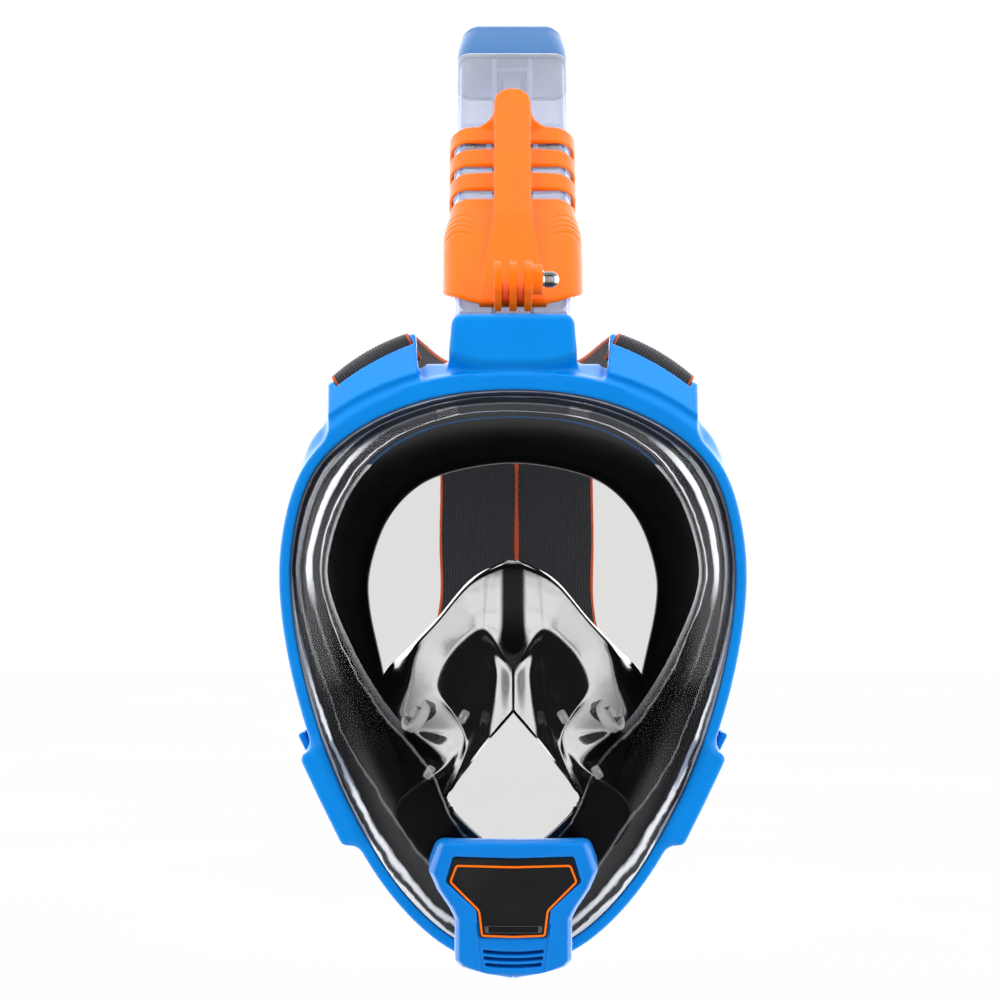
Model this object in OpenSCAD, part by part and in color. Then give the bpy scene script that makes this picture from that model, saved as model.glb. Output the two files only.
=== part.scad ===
// Full-face snorkel mask: a clear lens in a ring frame, a silicone face skirt with a breathing
// pocket, a dry-top snorkel leaning back from the brow, a clip-on camera holder and a head harness.
// The origin is the middle of the face opening at the seal. +Z is up and the wearer looks along -Y.

/* [Frame] */
// Half-width of the lens opening at its widest
opening_half_w = 89; // [80:1:98]
// Height of the top of the lens opening
opening_top = 84; // [78:1:88]
// Depth below the origin of the bottom of the lens opening
opening_drop = 141; // [136:1:146]
// Y of the frame's front rim at the middle of the face
rim_y = -46; // [-50:1:-42]
// How far the frame and the skirt sweep back at the temples
temple_sweep = 10; // [0:1:14]
// Depth of the frame ring from front to back
frame_depth = 26; // [24:1:30]
// Width of the front rim
rim_w = 4.6; // [4:0.2:5.4]

/* [Lens] */
// Half-width of the flat front of the lens
face_half_w = 74; // [68:1:78]
// Y of the flat front of the lens at the origin's height
lens_front_y = -80; // [-84:1:-76]
// Lens wall thickness
lens_t = 2.2; // [1.8:0.1:2.6]

/* [Face skirt] */
// Half-width of the opening that the face looks through
lip_half_w = 59; // [54:1:62]
// Height of the top of the face opening
lip_top = 55; // [50:1:60]

/* [Snorkel] */
// Angle that the snorkel leans back from the vertical
lean = 40; // [30:1:45]
// Width of the snorkel tube
tube_w = 48.4; // [46:0.2:49]
// Depth of the snorkel tube from front to back
tube_d = 28; // [26:0.5:29]
// Length of the tube above its socket
tube_len = 152; // [140:1:180]
// Tube wall thickness
tube_t = 1.8; // [1.4:0.1:2.2]
// How far the spigot plugs into the frame
spigot_len = 15; // [10:1:16]
// Rise of the float when it shuts the air inlet
float_rise = 8; // [5:0.5:9]

/* [Camera holder] */
// Radius of the camera bolt's hole
bolt_r = 2.65; // [2.55:0.05:2.8]
// Thickness of each of the three prongs, and of the gaps between them
prong_t = 3; // [2.8:0.05:3]
// Radius of the prongs' round ends
prong_r = 7.5; // [7:0.1:8]

/* [Harness] */
// Width of the elastic webbing
strap_w = 35; // [30:1:35]
// Thickness of the webbing
strap_t = 1.6; // [1.2:0.1:1.8]
// Y of the back of the harness, behind the head
back_y = 155; // [130:1:170]

/* [Hidden] */

$fn = 48;
gap = 0.3;
samples = 4;
lip_drop = 115;
face_top = 74;
face_drop = 100;
lens_tilt = 0.06;
frame_back_y = rim_y + frame_depth;
rim_inset = 2.4;
flange_y = rim_y + 4.2;
flange_t = 2.8;
bead_y = flange_y + flange_t + gap;
bead_t = 8.2;
retainer_y = bead_y + bead_t + gap;
retainer_t = 7.6;
blue = [0, 0.52, 0.9];
orange = [1, 0.5, 0.12];
charcoal = [0.2, 0.2, 0.23];
rubber = [0.06, 0.06, 0.07];
clear = [0.82, 0.88, 0.93, 0.45];
smoke = [0.45, 0.5, 0.65];

// Half outlines run from the top middle round the wearer's left side to the bottom middle.
opening_half = [[0, opening_top], [0.38 * opening_half_w, 0.955 * opening_top],
    [0.7 * opening_half_w, 0.812 * opening_top], [0.904 * opening_half_w, 0.6 * opening_top],
    [0.993 * opening_half_w, 0.29 * opening_top], [0.996 * opening_half_w, -0.03 * opening_drop],
    [0.917 * opening_half_w, -0.284 * opening_drop], [0.769 * opening_half_w, -0.539 * opening_drop],
    [0.535 * opening_half_w, -0.794 * opening_drop], [0.27 * opening_half_w, -0.954 * opening_drop],
    [0, -opening_drop]];
face_half = [[0, face_top], [0.38 * face_half_w, 0.96 * face_top],
    [0.68 * face_half_w, 0.82 * face_top], [0.885 * face_half_w, 0.58 * face_top],
    [0.995 * face_half_w, 0.27 * face_top], [0.985 * face_half_w, 0.03 * face_top],
    [0.84 * face_half_w, -0.23 * face_drop], [0.66 * face_half_w, -0.44 * face_drop],
    [0.44 * face_half_w, -0.615 * face_drop], [0.28 * face_half_w, -0.86 * face_drop],
    [0, -face_drop]];
lip_half = [[0, lip_top], [0.42 * lip_half_w, 0.935 * lip_top],
    [0.68 * lip_half_w, 0.81 * lip_top], [0.875 * lip_half_w, 0.57 * lip_top],
    [0.99 * lip_half_w, 0.22 * lip_top], [0.995 * lip_half_w, -0.035 * lip_drop],
    [0.905 * lip_half_w, -0.255 * lip_drop], [0.81 * lip_half_w, -0.49 * lip_drop],
    [0.64 * lip_half_w, -0.73 * lip_drop], [0.34 * lip_half_w, -0.94 * lip_drop],
    [0, -lip_drop]];

function lerp(a, b, t) = a + (b - a) * t;
function unit(v) = v / norm(v);
function catmull(a, b, c, d, t) =
    0.5 * (2 * b + (c - a) * t + (2 * a - 5 * b + 4 * c - d) * t * t
        + (3 * b - a - 3 * c + d) * t * t * t);
function flipped(p) = [-p[0], for (k = [1 : len(p) - 1]) p[k]];
function mirrored(half) = concat(half, [for (i = [len(half) - 2 : -1 : 1]) flipped(half[i])]);
// A smooth closed loop through a half outline and its mirror image.
function smooth_loop(half) =
    let (c = mirrored(half), m = len(c))
    [for (i = [0 : m - 1], k = [0 : samples - 1])
        catmull(c[(i + m - 1) % m], c[i], c[(i + 1) % m], c[(i + 2) % m], k / samples)];
// An open smooth path through a list of points.
function smooth_path(p, n) =
    let (m = len(p) - 1)
    concat([for (i = [0 : m - 1], k = [0 : n - 1])
        catmull(p[max(i - 1, 0)], p[i], p[i + 1], p[min(i + 2, m)], k / n)], [p[m]]);
// The loop moved outwards by a distance in its own plane.
function offset_loop(loop, d) =
    let (m = len(loop))
    [for (i = [0 : m - 1])
        let (t = unit(loop[(i + 1) % m] - loop[(i + m - 1) % m]))
        loop[i] + d * [-t[1], t[0]]];
function blend_loops(a, b, t) = [for (i = [0 : len(a) - 1]) lerp(a[i], b[i], t)];
function sweep(x) = temple_sweep * pow(x / (opening_half_w + rim_w), 2);
// A flat loop as 3D points, y back from the front and swept round the face.
function swept(loop, y) = [for (p = loop) [p[0], y + sweep(p[0]), p[1]]];
function lens_face(loop, back) = [for (p = loop) [p[0], lens_front_y - lens_tilt * p[1] + back, p[1]]];

// Six times the volume inside the faces, above zero where they are wound inside out.
function signed_volume(points, faces) =
    let (terms = [for (f = faces, k = [1 : len(f) - 2])
        points[f[0]] * cross(points[f[k]], points[f[k + 1]])])
    terms * [for (t = terms) 1];

opening = smooth_loop(opening_half);
face = smooth_loop(face_half);
lip = smooth_loop(lip_half);

// A solid whose surface runs through a list of equal rings. Closed: the last ring joins the
// first, as on a tyre. Open: the first and last rings are filled in.
module skin(rings, closed) {
    m = len(rings);
    n = len(rings[0]);
    last = closed ? m - 1 : m - 2;
    sides = [for (r = [0 : last], i = [0 : n - 1])
        let (a = r * n + i, b = r * n + (i + 1) % n, c = ((r + 1) % m) * n + (i + 1) % n,
            d = ((r + 1) % m) * n + i)
        each [[a, b, c], [a, c, d]]];
    ends = closed ? [] : [[for (i = [n - 1 : -1 : 0]) i], [for (i = [0 : n - 1]) (m - 1) * n + i]];
    points = [for (r = rings) each r];
    faces = concat(sides, ends);
    turned = signed_volume(points, faces) > 0;
    polyhedron(points, [for (f = faces) turned ? [for (i = [len(f) - 1 : -1 : 0]) f[i]] : f],
        convexity = 10);
}

// A ring round the lens opening, from section points [distance out, distance back].
module ring(section, y) {
    skin([for (s = section) swept(offset_loop(opening, s[0]), y + s[1])], true);
}

module rounded_rect(w, d, r) {
    square([w - 2 * r, d], center = true);
    square([w, d - 2 * r], center = true);
    for (x = [-1, 1], y = [-1, 1]) translate([x * (w / 2 - r), y * (d / 2 - r)]) circle(r);
}

// A rounded block whose outline lies in XZ, from y0 to y1.
module slab(w, h, r, y0, y1) {
    translate([0, y1, 0]) rotate([90, 0, 0]) linear_extrude(y1 - y0) rounded_rect(w, h, r);
}

module box(a, b) {
    translate(a) cube(b - a);
}

// Everything inside the lens opening, clear of the frame's wall.
module opening_prism(out) {
    translate([0, 60, 0]) rotate([90, 0, 0]) linear_extrude(160) polygon(offset_loop(opening, out));
}

/* ---- Frame ---- */
arm_at = [57, 0, 96.8];
arm_tilt = 30;
arm_slot_y = -31;
wing_at = [76.7, 0, -80.8];
wing_tilt = 25.8;
wing_half = 20.5;
wing_front_y = rim_y + 4;
wing_back_y = -17;
tongue_x = -4.7;
tongue_t = 2.6;
tongue_half = 13;
block_half_w = 25;
block_top = 114;
block_front_y = rim_y - 1;
block_back_y = -8;
socket_at = [0, -22, 107];
socket_floor = spigot_len + 1;
spigot_w = 43;
spigot_d = 23;

module in_arm() {
    translate(arm_at) rotate([0, arm_tilt, 0]) children();
}

module in_wing(side) {
    mirror([side < 0 ? 1 : 0, 0, 0]) translate(wing_at) rotate([0, wing_tilt, 0]) children();
}

module in_snorkel() {
    translate(socket_at) rotate([-lean, 0, 0]) children();
}

// The arm, and the low web that joins it to the snorkel's socket.
module arm_outline() {
    polygon([[38.5, 107.3], [40.4, 106.4], [73.6, 87.2], [73.6, 58], [60, 62], [30, 78], [20, 80],
        [20, 94.6], [33.6, 93.8], [36.6, 95.2]]);
}

// The strap drops through the slot behind the arm's face, and loops round the bar behind it.
module strap_slot() {
    bar_back = arm_slot_y + 10;
    half = strap_w / 2 + gap;
    in_arm() {
        box([-half, arm_slot_y, -13], [half, arm_slot_y + 4, 2]);
        box([-half, arm_slot_y, -13], [half, 0, -8]);
        box([-half, bar_back, -9], [half, 0, 2]);
    }
}

module frame() {
    front = [[0, 0], [3.4, 0], [rim_w, 1.6], [rim_w, frame_depth], [rim_inset, frame_depth],
        [rim_inset, 4], [0, 4]];
    color(blue) difference() {
        union() {
            ring(front, rim_y);
            difference() {
                union() {
                    for (side = [0, 1]) mirror([side, 0, 0]) {
                        translate([0, frame_back_y + 2, 0]) rotate([90, 0, 0])
                            linear_extrude(frame_depth) arm_outline();
                    }
                    for (side = [-1, 1]) in_wing(side) translate([-6, 0, 0])
                        slab(12, 2 * wing_half, 4, wing_front_y, wing_back_y);
                    intersection() {
                        translate([0, 0, block_top - 20])
                            slab(2 * block_half_w, 40, 5, block_front_y, block_back_y);
                        in_snorkel() box([-40, -60, -80], [40, 60, -1.8]);
                    }
                }
                opening_prism(rim_inset + 0.6);
            }
        }
        for (side = [0, 1]) mirror([side, 0, 0]) strap_slot();
        for (side = [-1, 1]) in_wing(side)
            box([tongue_x - 0.2, wing_back_y - 22, -tongue_half - gap],
                [tongue_x + tongue_t + 0.2, 0, tongue_half + gap]);
        in_snorkel() {
            translate([0, 0, -socket_floor]) linear_extrude(40)
                rounded_rect(spigot_w + 1.6, spigot_d + 1.6, 5.8);
        }
    }
}

module skirt_retainer() {
    section = [[-1, 0], [rim_inset - gap, 0], [rim_inset - gap, retainer_t], [-1, retainer_t]];
    color("dimgray") ring(section, retainer_y);
}

/* ---- Lens ---- */
drain_z = -112;
drain_r = 12.6;
chin_front_y = -86;
chin_top = -92;
// How far the chin housing's face turns down.
chin_tilt = 10;

module in_chin() {
    translate([0, chin_front_y, chin_top]) rotate([chin_tilt, 0, 0])
        translate([0, -chin_front_y, -chin_top]) children();
}

// The drain valve's axis, with +Z pointing out of the mask.
module in_drain() {
    in_chin() translate([0, 0, drain_z]) rotate([90, 0, 0]) children();
}

module lens() {
    wall = offset_loop(opening, -0.4);
    inner_wall = offset_loop(opening, -0.4 - lens_t * 1.15);
    rings = [lens_face(offset_loop(face, -lens_t), lens_t), swept(inner_wall, flange_y + flange_t),
        swept(offset_loop(opening, rim_inset - gap), flange_y + flange_t),
        swept(offset_loop(opening, rim_inset - gap), flange_y), swept(wall, flange_y),
        swept(wall, rim_y), lens_face(face, 0)];
    color(clear) difference() {
        skin(rings, false);
        in_drain() cylinder(r = drain_r + 0.2, h = 100);
    }
}

/* ---- Face skirt ---- */
// The skirt's section, as [share of the way from the frame to the lip, y], seal side first.
skirt_back = [[0.12, -21.5], [0.45, -9], [0.72, -2], [0.88, 0], [0.97, -1.4], [1, -4.5]];
skirt_front = [[0.955, -5.6], [0.87, -3], [0.7, -5], [0.4, -13], [0.1, -26]];

module face_skirt() {
    base = offset_loop(opening, -1.5);
    rings = concat(
        [swept(offset_loop(opening, -3), bead_y), swept(offset_loop(opening, rim_inset - gap), bead_y),
            swept(offset_loop(opening, rim_inset - gap), bead_y + bead_t), swept(base, bead_y + bead_t)],
        [for (s = skirt_back) swept(blend_loops(base, lip, s[0]), s[1])],
        [for (s = skirt_front) swept(blend_loops(base, lip, s[0]), s[1])]);
    color(rubber) skin(rings, true);
}

/* ---- Breathing pocket over the nose and mouth ---- */
// Half outlines [x, z, y] of the pocket: at the face, at the lens, and round the mouth opening.
pocket_face_half = [[0, 15.5, -24], [17.5, 7.5, -20], [30.6, -7.4, -13], [40, -19, -9],
    [48.5, -34, -6], [44.5, -56, -7], [35.5, -81, -9], [18, -103, -11], [0, -109.5, -12]];
pocket_lens_half = [[0, -33, -71], [12, -39, -71], [24, -47, -69], [36.7, -57, -62],
    [48.2, -80, -46.5], [46, -93, -40.5], [41, -106, -40], [21, -117, -42], [0, -121, -44]];
mouth_half = [[0, -41.6, -70], [8, -51, -70], [17, -62, -68], [25, -73, -63],
    [28.3, -78, -60], [24, -87, -58], [15, -97, -56], [7, -102, -54], [0, -104, -53]];
pocket_t = 2;

function xyz(loop) = [for (p = loop) [p[0], p[2], p[1]]];
function inward(loop, d) =
    let (flat = offset_loop([for (p = loop) [p[0], p[1]]], -d))
    [for (i = [0 : len(loop) - 1]) [flat[i][0], flat[i][1], loop[i][2]]];
function shifted(loop, dy) = [for (p = loop) [p[0], p[1], p[2] + dy]];

// Where an inhale valve sits on the side of the pocket, and which way it faces.
valve_at = [38.2, -46.4, -45];
valve_turn = [23.6, 60.8, 0];
valve_r = 8;

module in_valve(side) {
    mirror([side < 0 ? 1 : 0, 0, 0]) translate(valve_at) rotate(valve_turn) children();
}

module nose_pocket() {
    at_face = smooth_loop(pocket_face_half);
    at_lens = smooth_loop(pocket_lens_half);
    mouth = smooth_loop(mouth_half);
    mid = blend_loops(at_face, at_lens, 0.55);
    rings = [xyz(at_face), xyz(mid), xyz(at_lens), xyz(mouth), xyz(shifted(mouth, pocket_t)),
        xyz(shifted(inward(at_lens, pocket_t), pocket_t * 1.6)), xyz(inward(mid, pocket_t)),
        xyz(inward(at_face, pocket_t))];
    color(rubber) difference() {
        skin(rings, true);
        for (side = [-1, 1]) in_valve(side) translate([0, 0, -10])
            cylinder(r = valve_r + 0.2, h = 20);
    }
}

module pocket_clips() {
    color(clear) for (side = [-1, 1], p = [[19.5, -73.3, -44.6], [33, -64.4, -67]])
        translate([side * p[0], p[1], p[2]]) rotate([0, -side * 30, 0])
            slab(3, 5, 1, -1.4, 1.4);
}

// A spoked valve seat with a hole for the flap's stem.
module spoked_seat(r, t, stem_r) {
    difference() {
        cylinder(r = r, h = t);
        difference() {
            translate([0, 0, -1]) cylinder(r = r - 1.8, h = t + 2);
            for (a = [0 : 60 : 120]) rotate([0, 0, a]) translate([0, 0, t / 2 - 1])
                cube([2 * r, 1.4, 2], center = true);
            cylinder(r = stem_r + 1.2, h = t);
        }
        translate([0, 0, -1]) cylinder(r = stem_r + 0.06, h = t + 2);
    }
}

// A silicone mushroom valve: a thin disc on a stem that runs down through its seat.
module mushroom(r, stem_r, stem_len) {
    cylinder(r = r, h = 0.8);
    translate([0, 0, -stem_len]) cylinder(r = stem_r, h = stem_len);
}

module inhale_seat(side) {
    color(clear) in_valve(side) translate([0, 0, -1]) spoked_seat(valve_r, 3, 1.2);
}

// The flap lies on the pocket's side of its seat and opens into the pocket.
module inhale_flap(side) {
    color(clear) in_valve(side) translate([0, 0, -1.02]) mirror([0, 0, 1]) mushroom(valve_r - 1, 1.2, 3);
}

/* ---- Chin ---- */
chin_back_y = -40;
chin_half = [[28.4, -91], [33, -105], [29.8, -112.4], [24.9, -119.8], [22.9, -124],
    [22.9, -140.8], [20.5, -143.6], [11.4, -147.4], [0, -150.2]];
window_half = [[23.4, -98.2], [26.3, -108.3], [14.4, -119.6], [13.2, -131.2]];
trim_half = [[22.3, -101.4], [24.9, -108.4], [13.7, -120], [12.5, -130.3]];
louvre_z = [-137.5, -140.1, -142.7];

function both_sides(half) = concat(half, [for (i = [len(half) - 1 : -1 : 0]) [-half[i][0], half[i][1]]]);

module prism(points, y0, y1) {
    translate([0, y1, 0]) rotate([90, 0, 0]) linear_extrude(y1 - y0) polygon(points);
}

module window_prism(grow, y0, y1) {
    prism(offset_loop(both_sides(window_half), grow), y0, y1);
}

// The outside of the lens as one solid, a little larger, to shape what sits against it.
module lens_body(grow) {
    skin([swept(offset_loop(opening, grow), 60), swept(offset_loop(opening, grow), rim_y - grow),
        lens_face(offset_loop(face, grow), -grow)], false);
}

module chin_housing() {
    color(blue) difference() {
        in_chin() difference() {
            prism(both_sides(chin_half), chin_front_y, chin_back_y);
            window_prism(0, chin_front_y - 1, chin_front_y + 1.6);
            box([-12.2, chin_front_y + 3.4, -145.4], [12.2, -60, drain_z]);
            for (z = louvre_z) box([-12, chin_front_y - 1, z - 0.5], [12, chin_front_y + 5, z + 0.5]);
            translate([0, chin_front_y, -91]) rotate([-14, 0, 0]) box([-40, 0, 0], [40, 60, 20]);
        }
        in_drain() translate([0, 0, -chin_front_y - 3.4 - 40]) cylinder(r = 15, h = 40);
        lens_body(0.6);
        box([-60, rim_y - 0.6, -200], [60, 20, -80]);
    }
}

module chin_plate() {
    color("black") in_chin() difference() {
        window_prism(-0.4, chin_front_y + 0.8, chin_front_y + 1.5);
        box([-11, chin_front_y - 1, -128.6], [11, chin_front_y + 2, -126.2]);
    }
}

module chin_trim() {
    color(orange) in_chin() difference() {
        prism(both_sides(trim_half), chin_front_y + 0.25, chin_front_y + 0.75);
        prism(offset_loop(both_sides(trim_half), -0.8), chin_front_y, chin_front_y + 1);
    }
}

module drain_seat() {
    color("dimgray") in_drain() translate([0, 0, 58]) spoked_seat(drain_r, 19, 1.6);
}

module drain_flap() {
    color(clear) in_drain() translate([0, 0, 77.02]) mushroom(drain_r - 1, 1.6, 13);
}

/* ---- Snorkel ---- */
corner_r = 6;
bore_w = tube_w - 2 * tube_t;
bore_d = tube_d - 2 * tube_t;
divider_x = 7.8;
divider_t = 2;
channel_in = 2 * divider_x - divider_t;
seat_z = 108;
seat_t = 3;
inlet_z = tube_len - 9;
cap_h = 21;
float_h = inlet_z - seat_z - seat_t - float_rise - 3.2;

module snorkel_tube() {
    color(clear) in_snorkel() difference() {
        union() {
            linear_extrude(tube_len) rounded_rect(tube_w, tube_d, corner_r);
            translate([0, 0, -spigot_len]) linear_extrude(spigot_len + 1)
                rounded_rect(spigot_w, spigot_d, 5);
        }
        translate([0, 0, 2]) linear_extrude(tube_len) rounded_rect(bore_w, bore_d, corner_r - tube_t);
        translate([0, 0, -spigot_len - 1]) linear_extrude(spigot_len + 4)
            rounded_rect(spigot_w - 2 * tube_t, spigot_d - 2 * tube_t, 5 - tube_t);
        translate([0, 0, -9]) difference() {
            linear_extrude(2.4) rounded_rect(spigot_w + 2, spigot_d + 2, 5.6);
            linear_extrude(2.4) rounded_rect(spigot_w - 1.4, spigot_d - 1.4, 4.6);
        }
    }
}

module socket_gasket() {
    color(rubber) in_snorkel() translate([0, 0, -8.9]) difference() {
        linear_extrude(2.2) rounded_rect(spigot_w + 1.2, spigot_d + 1.2, 5.6);
        translate([0, 0, -1]) linear_extrude(5) rounded_rect(spigot_w - 1.2, spigot_d - 1.2, 4.7);
    }
}

// Two walls that part the middle inhale channel from the exhale channels at the sides.
module tube_divider() {
    color(clear) in_snorkel() for (side = [-1, 1]) {
        for (span = [[2.2, seat_z - gap], [seat_z + seat_t + gap, tube_len - 0.4]])
            box([side * divider_x - divider_t / 2, -bore_d / 2 + 0.15, span[0]],
                [side * divider_x + divider_t / 2, bore_d / 2 - 0.15, span[1]]);
    }
}

channel_w = bore_w / 2 - divider_x - divider_t / 2;
channel_x = divider_x + divider_t / 2 + channel_w / 2;

// The shelf under the float, with a port for each channel.
module exhaust_seat() {
    color(smoke) in_snorkel() difference() {
        translate([0, 0, seat_z]) linear_extrude(seat_t)
            rounded_rect(bore_w - 0.3, bore_d - 0.3, corner_r - tube_t);
        for (side = [-1, 1]) {
            translate([side * channel_x, 5, seat_z - 1]) cylinder(r = 3.4, h = 5);
            translate([side * channel_x, -5, seat_z - 1]) cylinder(r = 3.4, h = 5);
            translate([side * channel_x, 0, seat_z - 1]) cylinder(r = 1.26, h = 5);
        }
        for (y = [-7, 0, 7]) box([-4, y - 2.4, seat_z - 1], [4, y + 2.4, seat_z + 5]);
    }
}

module exhaust_flap(side) {
    color(rubber) in_snorkel() translate([side * channel_x, 0, seat_z + seat_t + 0.05]) {
        linear_extrude(0.8) rounded_rect(9, 18, 3);
        translate([0, 0, -seat_t]) cylinder(r = 1.2, h = seat_t);
    }
}

module float() {
    color("white") in_snorkel() translate([0, 0, seat_z + seat_t + 0.5]) linear_extrude(float_h)
        rounded_rect(channel_in - 0.8, bore_d - 4, 3);
}

module float_pad() {
    color(rubber) in_snorkel() translate([0, 0, seat_z + seat_t + 0.5 + float_h]) linear_extrude(1.6)
        rounded_rect(channel_in - 1.6, bore_d - 6, 3);
}

// The port that the float shuts from below.
module inlet_seat() {
    color(smoke) in_snorkel() translate([0, 0, inlet_z]) linear_extrude(2) difference() {
        square([channel_in - 0.3, bore_d - 0.3], center = true);
        square([7, bore_d - 10], center = true);
    }
}

module cap_shape(inset) {
    hull() {
        translate([0, 0, tube_len + gap]) linear_extrude(1)
            rounded_rect(tube_w - 0.6 - 2 * inset, tube_d - 0.6 - 2 * inset, corner_r - inset, $fn = 32);
        translate([0, 0, tube_len + 13 - inset]) linear_extrude(1)
            rounded_rect(tube_w - 4 - 2 * inset, tube_d - 3 - 2 * inset, corner_r - inset, $fn = 32);
        translate([0, 0, tube_len + cap_h - 1 - inset]) linear_extrude(1)
            rounded_rect(tube_w - 12 - 2 * inset, tube_d - 8 - 2 * inset, corner_r - inset, $fn = 32);
    }
}

module snorkel_cap() {
    color(blue) in_snorkel() difference() {
        cap_shape(0);
        translate([0, 0, -0.6]) cap_shape(1.8);
        for (x = [-14, -7, 0, 7, 14]) box([x - 2.2, 5, tube_len + 3], [x + 2.2, 20, tube_len + 9]);
    }
}

/* ---- Camera holder ---- */
holder_low = 1;
holder_high = 62;
holder_half_w = 28.4;
finger_z = [[67.5, 78], [81.5, 92], [95.5, 105]];
spine_half_w = 7.3;
spine_top = 121;
spine_front = -23;
bolt_at = [0, -29, 3.2];
boss_t = 4.3;
low_cut = [[-16, -1], [-16, 6], [0, 21], [7, 21], [7, -1]];

module holder_wrap(z0, z1, half_w, front) {
    translate([0, 0, z0]) linear_extrude(z1 - z0) difference() {
        translate([0, (6 + front) / 2]) rounded_rect(2 * half_w, 6 - front, 7);
        rounded_rect(tube_w + 0.5, tube_d + 0.5, corner_r);
        translate([-20, 2]) square([40, 30]);
    }
}

module prong(x) {
    translate([x - prong_t / 2, 0, 0]) rotate([90, 0, 90]) linear_extrude(prong_t) {
        translate([bolt_at[1], bolt_at[2]]) circle(prong_r);
        translate([bolt_at[1], bolt_at[2] - prong_r]) square([12, 2 * prong_r]);
    }
}

module camera_holder() {
    color(orange) in_snorkel() difference() {
        union() {
            holder_wrap(6, 44, holder_half_w, -18);
            holder_wrap(44, holder_high, holder_half_w - 2.4, -16.5);
            for (f = finger_z) holder_wrap(f[0], f[1], tube_w / 2 + 2, -16);
            translate([0, tube_d / 2, 0]) box([-spine_half_w, spine_front - tube_d / 2, holder_low],
                [spine_half_w, -tube_d - gap, spine_top - 4]);
            translate([0, -tube_d / 2 - gap, spine_top - 7]) rotate([90, 0, 0])
                linear_extrude(-spine_front - tube_d / 2 - gap) rounded_rect(2 * spine_half_w, 14, 6);
            rotate([90, 0, 0]) translate([0, 0, tube_d / 2 + gap])
                linear_extrude(-spine_front - tube_d / 2 - gap - 1)
                polygon(both_sides([[15, 0.5], [15, 8], [spine_half_w, 52]]));
            for (k = [-1, 0, 1]) prong(2 * k * prong_t);
            translate([2.5 * prong_t - 0.5, bolt_at[1], bolt_at[2]]) rotate([0, 90, 0])
                cylinder(r = 6, h = boss_t + 0.5);
        }
        translate([-30, bolt_at[1], bolt_at[2]]) rotate([0, 90, 0]) cylinder(r = bolt_r, h = 60);
        translate([2.5 * prong_t + 1, bolt_at[1], bolt_at[2]]) rotate([0, 90, 0]) cylinder(r = 4, h = 10);
        rotate([90, 0, 90]) linear_extrude(80, center = true) polygon(low_cut);
    }
}

module camera_nut() {
    face_x = 2.5 * prong_t + 1.1;
    color("silver") in_snorkel() translate([face_x, bolt_at[1], bolt_at[2]]) rotate([0, 90, 0])
        difference() {
            union() {
                cylinder(r = 3.9, h = boss_t - 0.6);
                cylinder(r = 3.3, h = 7.4);
                translate([0, 0, 7.4]) intersection() {
                    sphere(3.3);
                    cylinder(r = 4, h = 3);
                }
            }
            translate([0, 0, -1]) cylinder(r = 2.1, h = 7);
        }
}

/* ---- Harness ---- */
// A strip of webbing: rows of [middle, direction across], as a solid of width w and thickness t.
function strip_rings(rows, w, t) =
    [for (i = [0 : len(rows) - 1])
        let (a = rows[max(i - 1, 0)][0], b = rows[min(i + 1, len(rows) - 1)][0],
            across = unit(rows[i][1]), out = unit(cross(across, b - a)), p = rows[i][0])
        [p - across * w / 2 - out * t / 2, p + across * w / 2 - out * t / 2,
            p + across * w / 2 + out * t / 2, p - across * w / 2 + out * t / 2]];

module strip(points, acrosses, n) {
    p = smooth_path(points, n);
    a = smooth_path(acrosses, n);
    skin(strip_rings([for (i = [0 : len(p) - 1]) [p[i], a[i]]], strap_w, strap_t), false);
}

arm_along = [cos(arm_tilt), 0, -sin(arm_tilt)];
wing_along = [sin(wing_tilt), 0, cos(wing_tilt)];
wing_out = [cos(wing_tilt), 0, -sin(wing_tilt)];
bar_shift = 7;
strap_mid = wing_at + bar_shift * wing_along - 8.5 * wing_out;
back_top_z = 57;
back_low_z = -12;

over_arm = arm_at + 1.6 * [sin(arm_tilt), 0, cos(arm_tilt)];
back_x = strap_w / 2 + 0.1;
strap_route = [over_arm + [0, -30.4, 0], over_arm + [-1, -10, 1], over_arm + [-3, 25, 4], [47, 75, 97],
    [35, 120, 90], [23, 147, 74], [back_x, back_y, back_top_z], [back_x, back_y + 1, 22],
    [back_x, back_y, back_low_z], [23, 146, -34], [38, 120, -52], [55, 88, -64],
    strap_mid + [-3, 62, 0], strap_mid + [0, 33, 0]];
strap_across = [-arm_along, -arm_along, -arm_along, [-1, 0, 0.45], [-1, 0, 0.3], [-1, 0, 0.12],
    [-1, 0, 0], [-1, 0, 0], [-1, 0, 0], [-1, 0, -0.3], [-1, 0, -0.75], [-0.8, 0, -1.1],
    -wing_along, -wing_along];
route_steps = 3;

// One side's webbing, from its loop on the arm over and down the back of the head towards the
// buckle. It stops short of the buckle, whose own end of the webbing moves with it.
module strap_half() {
    half = strap_w / 2;
    front = arm_slot_y + 0.6;
    under = -11.6;
    behind = arm_slot_y + 10.4;
    difference() {
        strip(strap_route, strap_across, route_steps);
        translate([-1, -500, -500]) cube([1, 1000, 1000]);
    }
    in_arm() {
        box([-half, front, under], [half, front + strap_t, 1.4]);
        box([-half, front + strap_t, under], [half, behind + strap_t, under + strap_t]);
        box([-half, behind, under + strap_t], [half, behind + strap_t, -4]);
    }
}

module strap(side) {
    color(charcoal) mirror([side < 0 ? 1 : 0, 0, 0]) strap_half();
}

// Stitches across the straps' meeting edges, on the side towards the head.
module back_stitching() {
    route = smooth_path(strap_route, route_steps);
    first = 6 * route_steps;
    color(orange) for (i = [first : first + 2 * route_steps - 1], k = [0.25, 0.75])
        let (p = lerp(route[i], route[i + 1], k))
        translate([0, p[1] - strap_t / 2 - 0.6, p[2]]) cube([5, 1, 2], center = true);
}

buckle_front = -11.8;
buckle_bar_y = 1;
buckle_bar_x = [-7.4, -3.6];

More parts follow.
